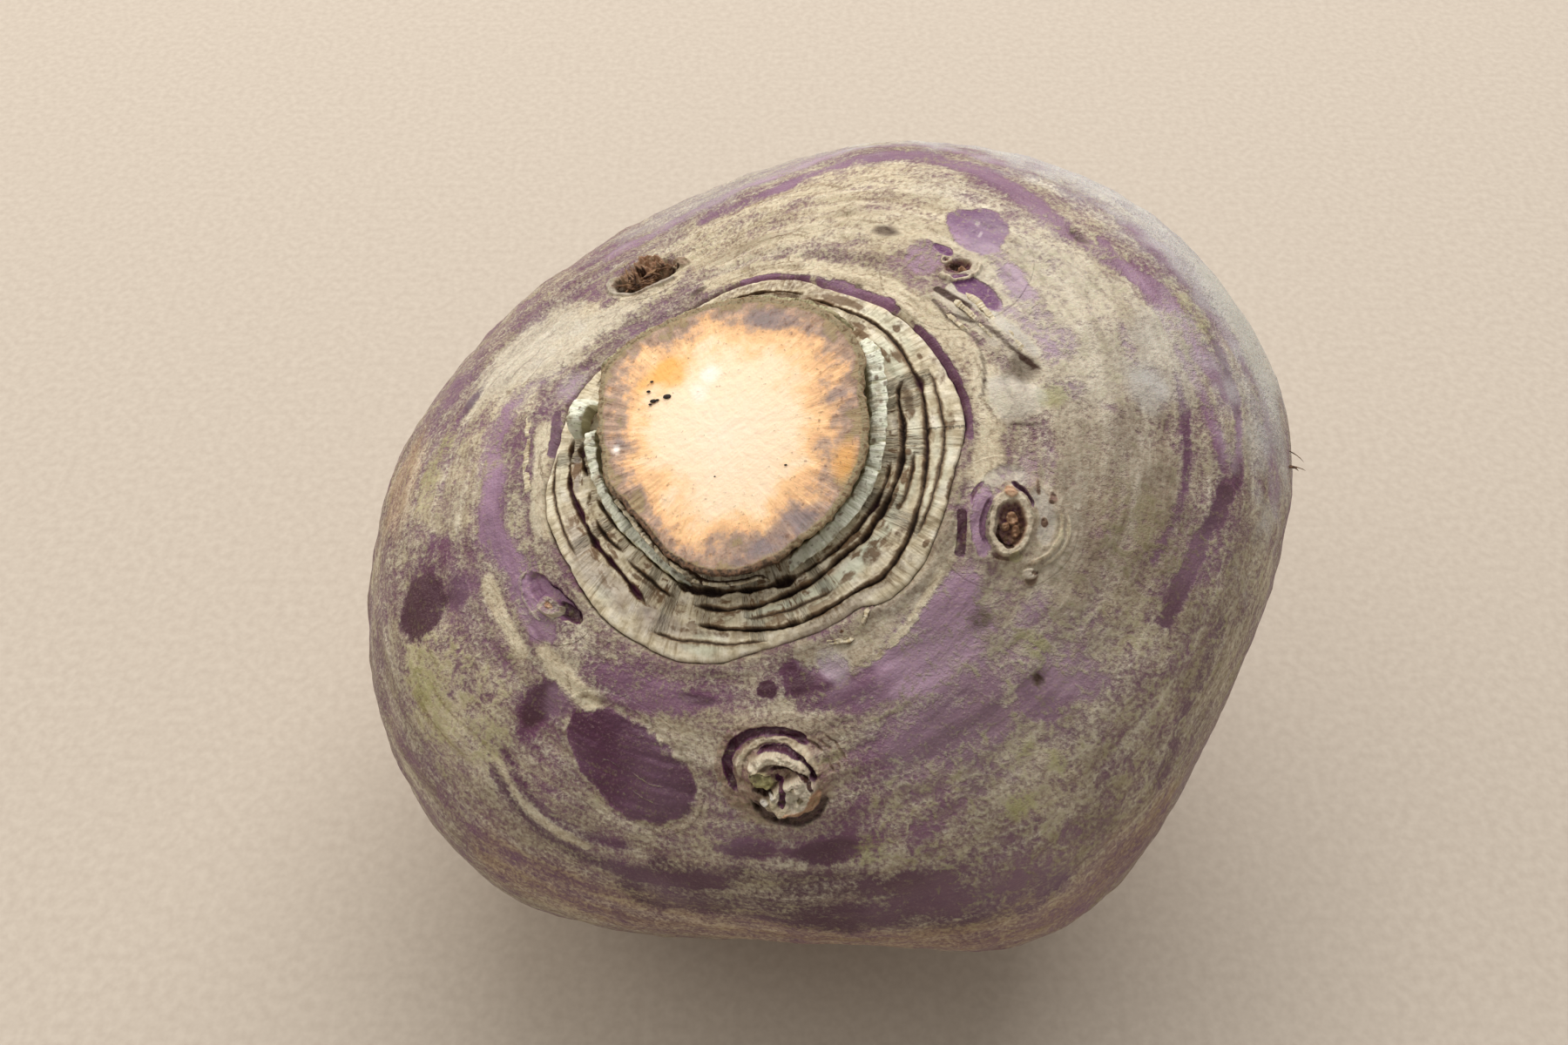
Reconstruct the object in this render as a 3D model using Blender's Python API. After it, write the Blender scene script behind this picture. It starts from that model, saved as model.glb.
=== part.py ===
"""Rutabaga: one swollen root with its leaves and tail trimmed off, lying on a small flat spot.

The body is an outline turned about the root's own axis, pushed out into lobes, leaned over and cut
flat where it rests. Leaf scars are raised on its crown by a formula, and the side buds, the withered
shoot and the stubs of the side roots are fused to it, because the whole root grew as one piece.

Metres, +Z up. The origin is the middle of the flat spot that the root rests on.

Directions on the root are given in its own frame: an azimuth round the crown axis, with 0 towards +X
and 90 towards +Y before the root leans, and a polar angle down from the crown.
"""
import math

import bmesh
import bpy
from mathutils import Matrix, Vector
from mathutils.bvhtree import BVHTree

# Stance
LEAN_NEAR = math.radians(22.5)      # the crown leans towards -Y
LEAN_SIDE = math.radians(9.0)       # and towards -X
HEART = Vector((0.0001, 0.0034, 0.0496))   # middle of the root, above the flat spot

# Outline of the turned body: radius and height along the root's axis, from the tail to the collar
TAIL_RADIUS = 0.0070
BODY_OUTLINE = (
    (TAIL_RADIUS, -0.0506),
    (0.0077, -0.0494),
    (0.0098, -0.0476),
    (0.0170, -0.0477),
    (0.0300, -0.0416),
    (0.0440, -0.0290),
    (0.0525, -0.0130),
    (0.0555, 0.0020),
    (0.0540, 0.0150),
    (0.0480, 0.0265),
    (0.0400, 0.0335),
    (0.0320, 0.0375),
    (0.0270, 0.0391),
    (0.0235, 0.0399),
    (0.0198, 0.0405),
)
# The short neck that the leaves grew from: a thin standing leaf base round it, a groove, then the
# neck itself, which widens a little to the rim of the cut
NECK_OUTLINE = (
    (0.0192, 0.0398),
    (0.0187, 0.0412),
    (0.0183, 0.0427),
    (0.0174, 0.0427),
    (0.0170, 0.0404),
    (0.0160, 0.0403),
    (0.0159, 0.0428),
    (0.0167, 0.0446),
    (0.0164, 0.0457),
    (0.0152, 0.0462),
    (0.0085, 0.0464),
)
NECK_OFFSET = 0.0019                # the neck stands this far from the root's axis
NECK_OFFSET_AZIMUTH = math.radians(105)
TAIL_TIP_HEIGHT = -0.0509
CUT_CENTRE_HEIGHT = 0.0465

# Mesh fineness
SEGMENTS = 72
BODY_STEP = 0.0052                  # between rings of the body
COLLAR_STEP = 0.00045               # between rings among the leaf scars
COLLAR_RADIUS = 0.0272

# Lobes: azimuth and polar angle in degrees, height in metres, spread in degrees
LOBES = (
    (0, 75, 0.012, 30),
    (50, 72, 0.005, 30),
    (95, 55, -0.004, 25),
    (130, 55, -0.006, 32),
    (195, 72, 0.003, 25),
    (228, 92, 0.006, 20),
    (280, 95, -0.008, 15),
    (302, 88, 0.011, 22),
    (318, 75, -0.001, 24),
    (268, 152, 0.0012, 18),
    (342, 39, 0.0014, 9),
    (279, 46, 0.0012, 9),
)

# Leaf scars: crescents that step round the crown by the golden angle, each a little further out
GOLDEN_ANGLE = math.radians(137.5)
SCAR_COUNT = 7
FIRST_SCAR_AZIMUTH = math.radians(250)
FIRST_SCAR_RADIUS = 0.0202
SCAR_STEP = 0.00085
SCAR_HALF_ANGLE = math.radians(120)
SCAR_HALF_WIDTH = (0.00060, 0.00125)   # of the first scar and of the last
SCAR_HEIGHT = 0.0014
SCAR_TUCK = 0.0006                  # the horns of a crescent close in on the neck
COLLAR_DEPTH = 0.0006               # the floor between the scars lies below the shoulder
COLLAR_FADE = 0.0020                # and rises to it over this distance

# Buds on the shoulder: azimuth and polar angle in degrees, half length, half width and height in metres
BUD_SEGMENTS = 18
RIGHT_BUD = (342, 38, 0.0050, 0.0032, 0.0024)
FRONT_BUD = (279, 47, 0.0050, 0.0040, 0.0046)
WITHERED_SHOOT = (116, 46, 0.0048, 0.0036, 0.0034)
LEFT_EYE = (220, 38, 0.0030, 0.0023, 0.0015)
FAR_EYE = (37, 41, 0.0028, 0.0022, 0.0012)
KNOT_SWELL = 0.16                   # the knotted bud's sides swing out by this share
KNOT_TWIST = 5.0                    # radians that the swelling turns from foot to top
TUFT_SCALES = 5
TUFT_FOLD = 0.25                    # the withered shoot's scales stand out by this share

# Stubs of trimmed side roots, in two rows down opposite sides of the lower body
STUB_ROW_AZIMUTHS = (20, 165)
STUBS_PER_ROW = 4
STUB_FIRST_POLAR = 108
STUB_POLAR_STEP = 11
STUB_STAGGER = 9                    # a row wanders this many degrees from side to side
STUB_RADIUS = 0.0019
STUB_HEIGHT = 0.0016
STUB_SEGMENTS = 10

SUNK = 0.0025                       # how deep a fused piece reaches into the body
REST_PLANE_Z = 0.0
MERGE_DISTANCE = 1e-6
SMOOTH_BELOW = math.radians(50)


def clear_scene():
    """Empty the scene and the meshes and materials left in the file."""
    for item in list(bpy.data.objects):
        bpy.data.objects.remove(item, do_unlink=True)
    for mesh in list(bpy.data.meshes):
        bpy.data.meshes.remove(mesh)
    for material in list(bpy.data.materials):
        bpy.data.materials.remove(material)


def root_frame():
    """The matrix from the root's own frame, with its axis on Z, to the world."""
    axis = Vector((-math.sin(LEAN_SIDE), -math.sin(LEAN_NEAR), 0.0))
    axis.z = math.sqrt(1.0 - axis.length_squared)
    east = (Vector((1.0, 0.0, 0.0)) - axis.x * axis).normalized()
    north = axis.cross(east)
    turn = Matrix((east, north, axis)).transposed().to_4x4()
    return Matrix.Translation(HEART) @ turn


def direction(azimuth, polar):
    """The unit vector in the root's frame at an azimuth and a polar angle, in degrees."""
    azimuth, polar = math.radians(azimuth), math.radians(polar)
    flat = math.sin(polar)
    return Vector((flat * math.cos(azimuth), flat * math.sin(azimuth), math.cos(polar)))


def curve_point(before, start, end, after, share):
    """A point between start and end on the smooth curve through four outline points."""
    bend = [2 * start[i] for i in (0, 1)]
    slope = [end[i] - before[i] for i in (0, 1)]
    square = [2 * before[i] - 5 * start[i] + 4 * end[i] - after[i] for i in (0, 1)]
    cube = [3 * (start[i] - end[i]) + after[i] - before[i] for i in (0, 1)]
    return tuple(
        0.5 * (bend[i] + share * (slope[i] + share * (square[i] + share * cube[i])))
        for i in (0, 1)
    )


def smooth_outline():
    """The body outline as a smooth curve, close-set where the leaf scars are."""
    ends = (BODY_OUTLINE[0],) + BODY_OUTLINE + (BODY_OUTLINE[-1],)
    points = []
    for before, start, end, after in zip(ends, ends[1:], ends[2:], ends[3:]):
        on_collar = start[1] > 0 and start[0] < COLLAR_RADIUS
        step = COLLAR_STEP if on_collar else BODY_STEP
        count = max(1, round(math.dist(start, end) / step))
        points += [curve_point(before, start, end, after, i / count) for i in range(count)]
    return points + [BODY_OUTLINE[-1]]


def turned_body():
    """The outline spun about Z: a closed body with a pole at the tail and one at the cut."""
    outline = [(0.0, TAIL_TIP_HEIGHT), *smooth_outline(), *NECK_OUTLINE, (0.0, CUT_CENTRE_HEIGHT)]
    mesh = bmesh.new()
    verts = [mesh.verts.new((radius, 0.0, height)) for radius, height in outline]
    edges = [mesh.edges.new(pair) for pair in zip(verts, verts[1:])]
    bmesh.ops.spin(mesh, geom=verts + edges, axis=(0, 0, 1), cent=(0, 0, 0),
                   angle=math.tau, steps=SEGMENTS, use_merge=True)
    bmesh.ops.remove_doubles(mesh, verts=mesh.verts, dist=MERGE_DISTANCE)
    bmesh.ops.recalc_face_normals(mesh, faces=mesh.faces)
    return mesh


def lobe_height(outward):
    """How far the lobes push the surface out in a direction of the root's frame."""
    total = 0.0
    for azimuth, polar, height, spread in LOBES:
        off = outward.angle(direction(azimuth, polar)) / math.radians(spread)
        total += height * math.exp(-0.5 * off * off)
    return total


def scar_height(azimuth, radius):
    """How far the leaf scars stand up at a place on the collar: the highest crescent wins."""
    highest = 0.0
    for number in range(SCAR_COUNT):
        middle = FIRST_SCAR_AZIMUTH + number * GOLDEN_ANGLE
        along = math.remainder(azimuth - middle, math.tau) / SCAR_HALF_ANGLE
        if abs(along) >= 1.0:
            continue
        line = FIRST_SCAR_RADIUS + number * SCAR_STEP - SCAR_TUCK * along * along
        narrow, wide = SCAR_HALF_WIDTH
        half_width = narrow + (wide - narrow) * number / (SCAR_COUNT - 1)
        across = (radius - line) / (half_width * math.sqrt(1.0 - along * along))
        if abs(across) < 1.0:
            highest = max(highest, SCAR_HEIGHT * (1.0 - across ** 4))
    return highest


def collar_relief(azimuth, radius):
    """How far the collar's surface lies above the shoulder's smooth curve."""
    last_line = FIRST_SCAR_RADIUS + (SCAR_COUNT - 1) * SCAR_STEP
    inside = min(1.0, max(0.0, (last_line + COLLAR_FADE - radius) / COLLAR_FADE))
    return scar_height(azimuth, radius) - COLLAR_DEPTH * inside


def neck_shift(radius):
    """How far a place on the crown moves aside with the neck: all of it inside, none past the scars."""
    collar_edge = FIRST_SCAR_RADIUS + SCAR_COUNT * SCAR_STEP
    inside = (collar_edge - radius) / (collar_edge - NECK_OUTLINE[0][0])
    inside = min(1.0, max(0.0, inside))
    shift = NECK_OFFSET * inside * inside * (3.0 - 2.0 * inside)
    return Vector((math.cos(NECK_OFFSET_AZIMUTH), math.sin(NECK_OFFSET_AZIMUTH), 0.0)) * shift


def shape_body(mesh):
    """Raise the leaf scars, set the neck aside, then push the body out into its lobes."""
    neck_edge = NECK_OUTLINE[0][0]
    for vert in mesh.verts:
        place = vert.co.copy()
        radius = math.hypot(place.x, place.y)
        if place.z > 0 and radius > neck_edge:
            place.z += collar_relief(math.atan2(place.y, place.x), radius)
        if place.z > 0:
            place += neck_shift(radius)
        outward = place.normalized()
        vert.co = place + outward * lobe_height(outward)


def rest_on_flat_spot(mesh):
    """Cut the leaning body level with the surface it lies on and close the cut with one face."""
    cut = bmesh.ops.bisect_plane(
        mesh, geom=mesh.verts[:] + mesh.edges[:] + mesh.faces[:],
        plane_co=(0, 0, REST_PLANE_Z), plane_no=(0, 0, 1), clear_inner=True)
    rim = [item for item in cut["geom_cut"] if isinstance(item, bmesh.types.BMEdge)]
    bmesh.ops.edgeloop_fill(mesh, edges=rim)
    bmesh.ops.recalc_face_normals(mesh, faces=mesh.faces)


def turned_growth(outline, segments, base_radius):
    """A small closed body turned about Z, standing on a root that is sunk into the body."""
    top = outline[-1]
    points = [(0.0, -SUNK), (base_radius, -SUNK), *outline]
    if top[0] > 0:
        points.append((0.0, top[1]))
    mesh = bmesh.new()
    verts = [mesh.verts.new((radius, 0.0, height)) for radius, height in points]
    edges = [mesh.edges.new(pair) for pair in zip(verts, verts[1:])]
    bmesh.ops.spin(mesh, geom=verts + edges, axis=(0, 0, 1), cent=(0, 0, 0),
                   angle=math.tau, steps=segments, use_merge=True)
    bmesh.ops.remove_doubles(mesh, verts=mesh.verts, dist=MERGE_DISTANCE)
    bmesh.ops.recalc_face_normals(mesh, faces=mesh.faces)
    return mesh


def open_bud(height):
    """An oval lip round a sunken, rotted middle. Its radius is 1, to be scaled to the bud."""
    outline = ((1.05, 0.0), (0.95, 0.55 * height), (0.78, height), (0.62, 0.96 * height),
               (0.48, 0.45 * height), (0.25, 0.30 * height))
    return turned_growth(outline, BUD_SEGMENTS, 1.15)


def knotted_bud(height):
    """A stub of rolled young leaves: its sides swell and pinch along a spiral."""
    outline = ((1.00, 0.10 * height), (0.96, 0.38 * height), (0.82, 0.58 * height),
               (0.74, 0.50 * height), (0.66, 0.66 * height), (0.60, 0.90 * height),
               (0.44, height), (0.30, 0.88 * height), (0.12, 0.92 * height))
    mesh = turned_growth(outline, BUD_SEGMENTS, 1.05)
    for vert in mesh.verts:
        azimuth = math.atan2(vert.co.y, vert.co.x)
        rise = max(0.0, vert.co.z / height)
        swell = 1.0 + KNOT_SWELL * rise * math.sin(azimuth + KNOT_TWIST * rise)
        vert.co.x *= swell
        vert.co.y *= swell
    return mesh


def withered_tuft(height):
    """A dead shoot: dry scales folded together round a hollow tip."""
    outline = ((1.00, 0.0), (0.85, 0.45 * height), (0.55, 0.85 * height), (0.38, height),
               (0.22, 0.60 * height))
    mesh = turned_growth(outline, BUD_SEGMENTS, 1.05)
    for vert in mesh.verts:
        azimuth = math.atan2(vert.co.y, vert.co.x)
        rise = max(0.0, vert.co.z / height)
        fold = 1.0 + TUFT_FOLD * rise * math.cos(TUFT_SCALES * azimuth)
        vert.co.x *= fold
        vert.co.y *= fold
    return mesh


def small_eye(height):
    """A sleeping bud: a low lip round a dimple."""
    outline = ((1.00, 0.0), (0.80, height), (0.55, 0.90 * height), (0.30, 0.25 * height))
    return turned_growth(outline, STUB_SEGMENTS, 1.10)


def root_stub(height):
    """Where a side root was trimmed: a low round stub."""
    return turned_growth(((1.0, 0.0), (0.86, 0.7 * height), (0.6, height)), STUB_SEGMENTS, 1.15)


def seat_on_body(mesh, body_tree, frame, azimuth, polar, half_length, half_width):
    """Scale a growth's round plan to an oval that lies along the shoulder, and seat it on the body."""
    outward = frame.to_3x3() @ direction(azimuth, polar)
    seat, normal, _, _ = body_tree.ray_cast(HEART, outward)
    crown = frame.to_3x3() @ Vector((0, 0, 1))
    up = (crown - crown.dot(normal) * normal).normalized()
    side = up.cross(normal)
    turn = Matrix((side, up, normal)).transposed().to_4x4()
    oval = Matrix.Diagonal((half_width, half_length, 1.0, 1.0))
    bmesh.ops.transform(mesh, matrix=Matrix.Translation(seat) @ turn @ oval, verts=mesh.verts)


def make_object(name, mesh, material):
    """Write a bmesh to a named object in the scene."""
    data = bpy.data.meshes.new(name)
    mesh.to_mesh(data)
    mesh.free()
    data.materials.append(material)
    item = bpy.data.objects.new(name, data)
    bpy.context.scene.collection.objects.link(item)
    return item


def rind_material():
    """Purple and tan rind, dull and a little waxy."""
    material = bpy.data.materials.new("rutabaga_rind")
    material.use_nodes = True
    shader = material.node_tree.nodes["Principled BSDF"]
    shader.inputs["Base Color"].default_value = (0.21, 0.13, 0.11, 1.0)
    shader.inputs["Roughness"].default_value = 0.62
    shader.inputs["Metallic"].default_value = 0.0
    return material


def growths():
    """Every piece that is fused to the body: its mesh and the place and size of its seat."""
    builders = (
        (open_bud, RIGHT_BUD), (knotted_bud, FRONT_BUD), (withered_tuft, WITHERED_SHOOT),
        (small_eye, LEFT_EYE), (small_eye, FAR_EYE),
    )
    pieces = [(build(height), *seat) for build, (*seat, height) in builders]
    for row, azimuth in enumerate(STUB_ROW_AZIMUTHS):
        for number in range(STUBS_PER_ROW):
            wander = STUB_STAGGER * math.sin(2.4 * number + row)
            polar = STUB_FIRST_POLAR + STUB_POLAR_STEP * number
            pieces.append((root_stub(STUB_HEIGHT), azimuth + wander, polar, STUB_RADIUS, STUB_RADIUS))
    return pieces


def fuse(body, pieces):
    """Join the pieces to the body with one Boolean union, and remove them."""
    collection = bpy.data.collections.new("growths")
    for piece in pieces:
        collection.objects.link(piece)
    union = body.modifiers.new("growths", "BOOLEAN")
    union.operation = "UNION"
    union.solver = "EXACT"
    union.operand_type = "COLLECTION"
    union.collection = collection
    bpy.context.view_layer.update()
    evaluated = body.evaluated_get(bpy.context.evaluated_depsgraph_get())
    fused = bpy.data.meshes.new_from_object(evaluated)
    body.modifiers.clear()
    body.data = fused
    for piece in pieces:
        bpy.data.objects.remove(piece, do_unlink=True)
    bpy.data.collections.remove(collection)


def main():
    clear_scene()
    material = rind_material()
    frame = root_frame()
    mesh = turned_body()
    shape_body(mesh)
    bmesh.ops.transform(mesh, matrix=frame, verts=mesh.verts)
    rest_on_flat_spot(mesh)
    body_tree = BVHTree.FromBMesh(mesh)
    body = make_object("rutabaga", mesh, material)
    pieces = []
    for number, (growth, azimuth, polar, half_length, half_width) in enumerate(growths()):
        seat_on_body(growth, body_tree, frame, azimuth, polar, half_length, half_width)
        pieces.append(make_object(f"growth_{number}", growth, material))
    fuse(body, pieces)
    body.data.name = "rutabaga"
    body.data.shade_smooth()
    body.data.set_sharp_from_angle(angle=SMOOTH_BELOW)


main()
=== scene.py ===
"""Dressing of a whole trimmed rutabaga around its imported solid.

The root is one grown thing. Its pieces here are its visible tissues: the rind, the cut neck, the feet
of the leaves that were cut off round it, the side buds, the healed tail and the dry root hairs.

Places on the root are given in its own frame, before it leans: an azimuth round the crown axis in
degrees, 0 towards +X and 90 towards +Y, with a polar angle down from the crown, or a radius from the
crown axis in millimetres. Meshes are built in metres, patterns are scaled in millimetres.
"""
from __future__ import annotations

import logging
import math
import random
from dataclasses import dataclass, field, fields
from enum import Enum
from functools import partial
from typing import Any, Callable, ClassVar, Iterable, Sequence

import bmesh
import bpy
import numpy as np
from bpy.types import Material, Mesh, Node, NodeSocket, NodeTree, Object
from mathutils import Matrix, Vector, noise

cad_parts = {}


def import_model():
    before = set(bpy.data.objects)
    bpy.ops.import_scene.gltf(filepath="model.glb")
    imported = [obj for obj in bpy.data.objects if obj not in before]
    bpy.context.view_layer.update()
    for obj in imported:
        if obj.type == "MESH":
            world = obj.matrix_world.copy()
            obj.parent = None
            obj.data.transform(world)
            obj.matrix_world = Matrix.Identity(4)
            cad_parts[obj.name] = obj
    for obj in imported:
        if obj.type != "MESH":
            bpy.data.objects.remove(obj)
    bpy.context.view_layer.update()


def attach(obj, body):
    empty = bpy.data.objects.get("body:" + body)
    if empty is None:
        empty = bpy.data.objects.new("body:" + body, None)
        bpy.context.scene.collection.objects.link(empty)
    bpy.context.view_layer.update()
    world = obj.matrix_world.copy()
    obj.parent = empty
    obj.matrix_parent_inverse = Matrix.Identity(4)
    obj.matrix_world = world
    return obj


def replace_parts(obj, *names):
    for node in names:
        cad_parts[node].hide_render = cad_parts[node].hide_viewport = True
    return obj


# One value for each point, or one row of three
Array = np.ndarray
# Such as azimuths, each with a polar angle or a radius
Pairs = tuple[tuple[float, float], ...]

LOG = logging.getLogger("rutabaga")
NODE = "rutabaga"
BODY = "root"
MM = 0.001
# Azimuths of the two rows of side roots
SIDE_ROOTS = (20, 165)


class Slot(Enum):
    """Material slots of the record."""

    RIND = "rind"
    CUT = "cut_flesh"


# ---- numbers and curves


def smooth_step(low: Any, high: Any, value: Array) -> Array:
    """Rise smoothly from 0 at low to 1 at high.

    Args:
        low: Where the rise starts. It may be above high, for a fall.
        high: Where it ends.
        value: Values to map.

    Returns:
        The mapped values.
    """
    share = np.clip((value - low) / (high - low), 0, 1)
    return share * share * (3 - 2 * share)


def through(values: Sequence[float], share: Array) -> Array:
    """Read a smooth curve through evenly spaced values.

    Args:
        values: The values that the curve passes through.
        share: Where to read it, from 0 at the first value to 1 at the last.

    Returns:
        The curve's values.
    """
    points = np.asarray(values, float)
    spans = len(points) - 1
    place = np.clip(share, 0, 1) * spans
    start = np.minimum(place.astype(int), spans - 1)
    part = place - start
    before, here, after, beyond = (points[np.clip(start + offset, 0, spans)] for offset in (-1, 0, 1, 2))
    square = 2 * before - 5 * here + 4 * after - beyond
    cube = 3 * (here - after) + beyond - before
    return 0.5 * (2 * here + part * (after - before + part * (square + part * cube)))


def grain(places: Array, size: float, octaves: int = 3, seed: float = 0.0) -> Array:
    """Smooth fractal noise, about -1 to 1.

    Args:
        places: Points, one row each.
        size: The width of the largest features, in the points' unit.
        octaves: How many finer layers are added.
        seed: Shifts the pattern.

    Returns:
        One value for each point.
    """
    shift = Vector((seed, 2.7 * seed, -1.3 * seed))
    rows = (places / size).tolist()
    return np.array([noise.fractal(Vector(row) + shift, 0.8, 2, octaves) for row in rows])


def round_gap(azimuth: Array, middle: float) -> Array:
    """The angle from middle to each azimuth, in degrees from -180 to 180."""
    return (azimuth - middle + 180) % 360 - 180


def follow(path: Pairs, azimuth: Array) -> tuple[Array, Array]:
    """Read a path that runs part of the way round the crown.

    Args:
        path: Azimuths in degrees, in order, each with a value.
        azimuth: Where to read it.

    Returns:
        The path's value, and the degrees from its nearer end, below 0 between its ends.
    """
    stops, values = np.array(path, float).T
    stops = stops[0] + np.concatenate(([0], np.cumsum(round_gap(stops[1:], stops[:-1]))))
    middle = 0.5 * (stops[0] + stops[-1])
    place = middle + round_gap(azimuth, middle)
    order = np.argsort(stops)
    past = np.maximum(stops.min() - place, place - stops.max())
    return np.interp(place, stops[order], values[order]), past


def crown_points(azimuth: Any, radius: Any, height: Any = 0.0) -> Array:
    """Points in the root's frame from azimuths in degrees, radii and heights."""
    angle = np.radians(azimuth)
    return np.column_stack((radius * np.cos(angle), radius * np.sin(angle), height + 0 * angle))


# ---- the root's form


@dataclass(frozen=True)
class Lobe:
    """A soft swelling of the root: its middle's azimuth and polar angle, height and spread."""

    azimuth: float
    polar: float
    height: float
    spread: float


@dataclass(frozen=True)
class RootForm:
    """The root's driving shape, with the same values as its solid."""

    lean_near: float = 22.5
    lean_side: float = 9.0
    heart: tuple[float, float, float] = (0.0001, 0.0034, 0.0496)
    outline: Pairs = (
        (0.007, -0.0506), (0.0077, -0.0494), (0.0098, -0.0476), (0.017, -0.0477), (0.03, -0.0416),
        (0.044, -0.029), (0.0525, -0.013), (0.0555, 0.002), (0.054, 0.015), (0.048, 0.0265),
        (0.04, 0.0335), (0.032, 0.0375), (0.027, 0.0391), (0.0235, 0.0399), (0.0198, 0.0405))
    tail_tip: float = -0.0509
    lobes: tuple[Lobe, ...] = (
        Lobe(0, 75, 0.012, 30),
        Lobe(50, 72, 0.005, 30),
        Lobe(95, 55, -0.004, 25),
        Lobe(130, 55, -0.006, 32),
        Lobe(195, 72, 0.003, 25),
        Lobe(228, 92, 0.006, 20),
        Lobe(280, 95, -0.008, 15),
        Lobe(302, 88, 0.011, 22),
        Lobe(318, 75, -0.001, 24),
        Lobe(268, 152, 0.0012, 18),
        Lobe(342, 39, 0.0014, 9),
        Lobe(279, 46, 0.0012, 9),
    )

    def turn(self) -> Array:
        """The rotation from the root's frame to the world, as a 3 by 3 array.

        Returns:
            The rotation, for rows of points on its left.
        """
        axis = Vector((-math.sin(math.radians(self.lean_side)), -math.sin(math.radians(self.lean_near)), 0))
        axis.z = math.sqrt(1 - axis.length_squared)
        east = (Vector((1, 0, 0)) - axis.x * axis).normalized()
        return np.array((east, axis.cross(east), axis)).T

    @staticmethod
    def direction(azimuth: float, polar: float) -> Array:
        """The unit vector in the root's frame towards a place on it.

        Args:
            azimuth: Degrees round the crown.
            polar: Degrees down from it.

        Returns:
            The vector.
        """
        round_angle, down_angle = math.radians(azimuth), math.radians(polar)
        flat = math.sin(down_angle)
        return np.array((flat * math.cos(round_angle), flat * math.sin(round_angle), math.cos(down_angle)))

    def profile(self, count: int = 60) -> Array:
        """The outline as a smooth curve from the tail to the collar.

        Args:
            count: Points in each span of the outline.

        Returns:
            Rows of radius and height in metres.
        """
        share = np.linspace(0, 1, (len(self.outline) - 1) * count + 1)
        radius, height = np.array(self.outline).T
        return np.column_stack((through(radius, share), through(height, share)))

    def shoulder(self, radius_mm: Array) -> Array:
        """Height of the smooth crown.

        Args:
            radius_mm: Where to read it, in mm from the crown axis.

        Returns:
            Heights in mm.
        """
        curve = self.profile() / MM
        top = curve[curve[:, 1] > 3][::-1]
        return np.interp(radius_mm, top[:, 0], top[:, 1])

    def lift(self, places: Array) -> Array:
        """Push points of the turned form out into the lobes, and lean them over.

        Args:
            places: Points in the root's frame, metres, one row each.

        Returns:
            The same points in the world.
        """
        reach = np.maximum(np.linalg.norm(places, axis=1, keepdims=True), 1e-9)
        outward = places / reach
        swell = np.zeros(len(places))
        for lobe in self.lobes:
            facing = np.clip(outward @ self.direction(lobe.azimuth, lobe.polar), -1, 1)
            off = np.degrees(np.arccos(facing)) / lobe.spread
            swell += lobe.height * np.exp(-0.5 * off * off)
        return (places + outward * swell[:, None]) @ self.turn().T + np.array(self.heart)

    def skin(self, azimuth: float, polar: float) -> Array:
        """The world point of the smooth skin at an azimuth and a polar angle.

        Args:
            azimuth: Degrees round the crown.
            polar: Degrees down from it.

        Returns:
            Its x, y and z in metres.
        """
        curve = self.profile()[::-1]
        down = np.degrees(np.arctan2(curve[:, 0], curve[:, 1]))
        radius, height = (np.interp(polar, down, column) for column in curve.T)
        return self.lift(crown_points(azimuth, radius, height))[0]


FORM = RootForm()


@dataclass(frozen=True)
class Seat:
    """A spot on the skin, with unit vectors round the crown, down the root and outwards."""

    place: Array
    across: Array
    down: Array
    out: Array

    @classmethod
    def at(cls, azimuth: float, polar: float) -> Seat:
        """Find the spot at an azimuth and a polar angle.

        Args:
            azimuth: Degrees round the crown.
            polar: Degrees down from it.

        Returns:
            The seat there.
        """
        place = FORM.skin(azimuth, polar)
        across = Vector(FORM.skin(azimuth + 1, polar) - FORM.skin(azimuth - 1, polar)).normalized()
        down = Vector(FORM.skin(azimuth, polar + 1) - FORM.skin(azimuth, polar - 1))
        out = down.cross(across).normalized()
        return cls(place, np.array(across), np.array(across.cross(out)), np.array(out))

    def world(self, local: Array) -> Array:
        """World points from rows of mm round the crown, down the root and outwards."""
        return self.place + (local * MM) @ np.array((self.across, self.down, self.out))


# ---- mesh helpers


def places_of(mesh: Mesh) -> Array:
    """Read the mesh's vertex positions.

    Args:
        mesh: The mesh.

    Returns:
        One row for each vertex.
    """
    flat = np.empty(len(mesh.vertices) * 3, np.float32)
    mesh.vertices.foreach_get("co", flat)
    return flat.reshape(-1, 3).astype(float)


def set_places(mesh: Mesh, places: Array) -> None:
    """Move the mesh's vertices to new positions."""
    mesh.vertices.foreach_set("co", places.astype(np.float32).ravel())
    mesh.update()


def push_out(mesh: Mesh, relief: Array) -> None:
    """Move each vertex along its normal by its relief, in metres."""
    normals = np.array([vert.normal for vert in mesh.vertices])
    set_places(mesh, places_of(mesh) + normals * relief[:, None])


def add_field(mesh: Mesh, name: str, values: Array) -> None:
    """Keep a number or a vector for each vertex, for the material to read.

    Args:
        mesh: The mesh.
        name: The attribute's name.
        values: One value, or one row of three, for each vertex.
    """
    kind, key = ("FLOAT", "value") if values.ndim == 1 else ("FLOAT_VECTOR", "vector")
    layer = mesh.attributes.new(name, kind, "POINT")
    layer.data.foreach_set(key, values.astype(np.float32).ravel())


def mesh_of(form: bmesh.types.BMesh, name: str) -> Mesh:
    """Turn a bmesh into a new mesh and free it.

    Args:
        form: The bmesh.
        name: The mesh's name.

    Returns:
        The new mesh.
    """
    mesh = bpy.data.meshes.new(name)
    form.to_mesh(mesh)
    form.free()
    return mesh


def add_object(name: str, data: bpy.types.ID) -> Object:
    """Put a new object in the scene.

    Args:
        name: Its name.
        data: Its mesh, light or camera.

    Returns:
        The object.
    """
    added = bpy.data.objects.new(name, data)
    bpy.context.scene.collection.objects.link(added)
    return added


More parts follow.
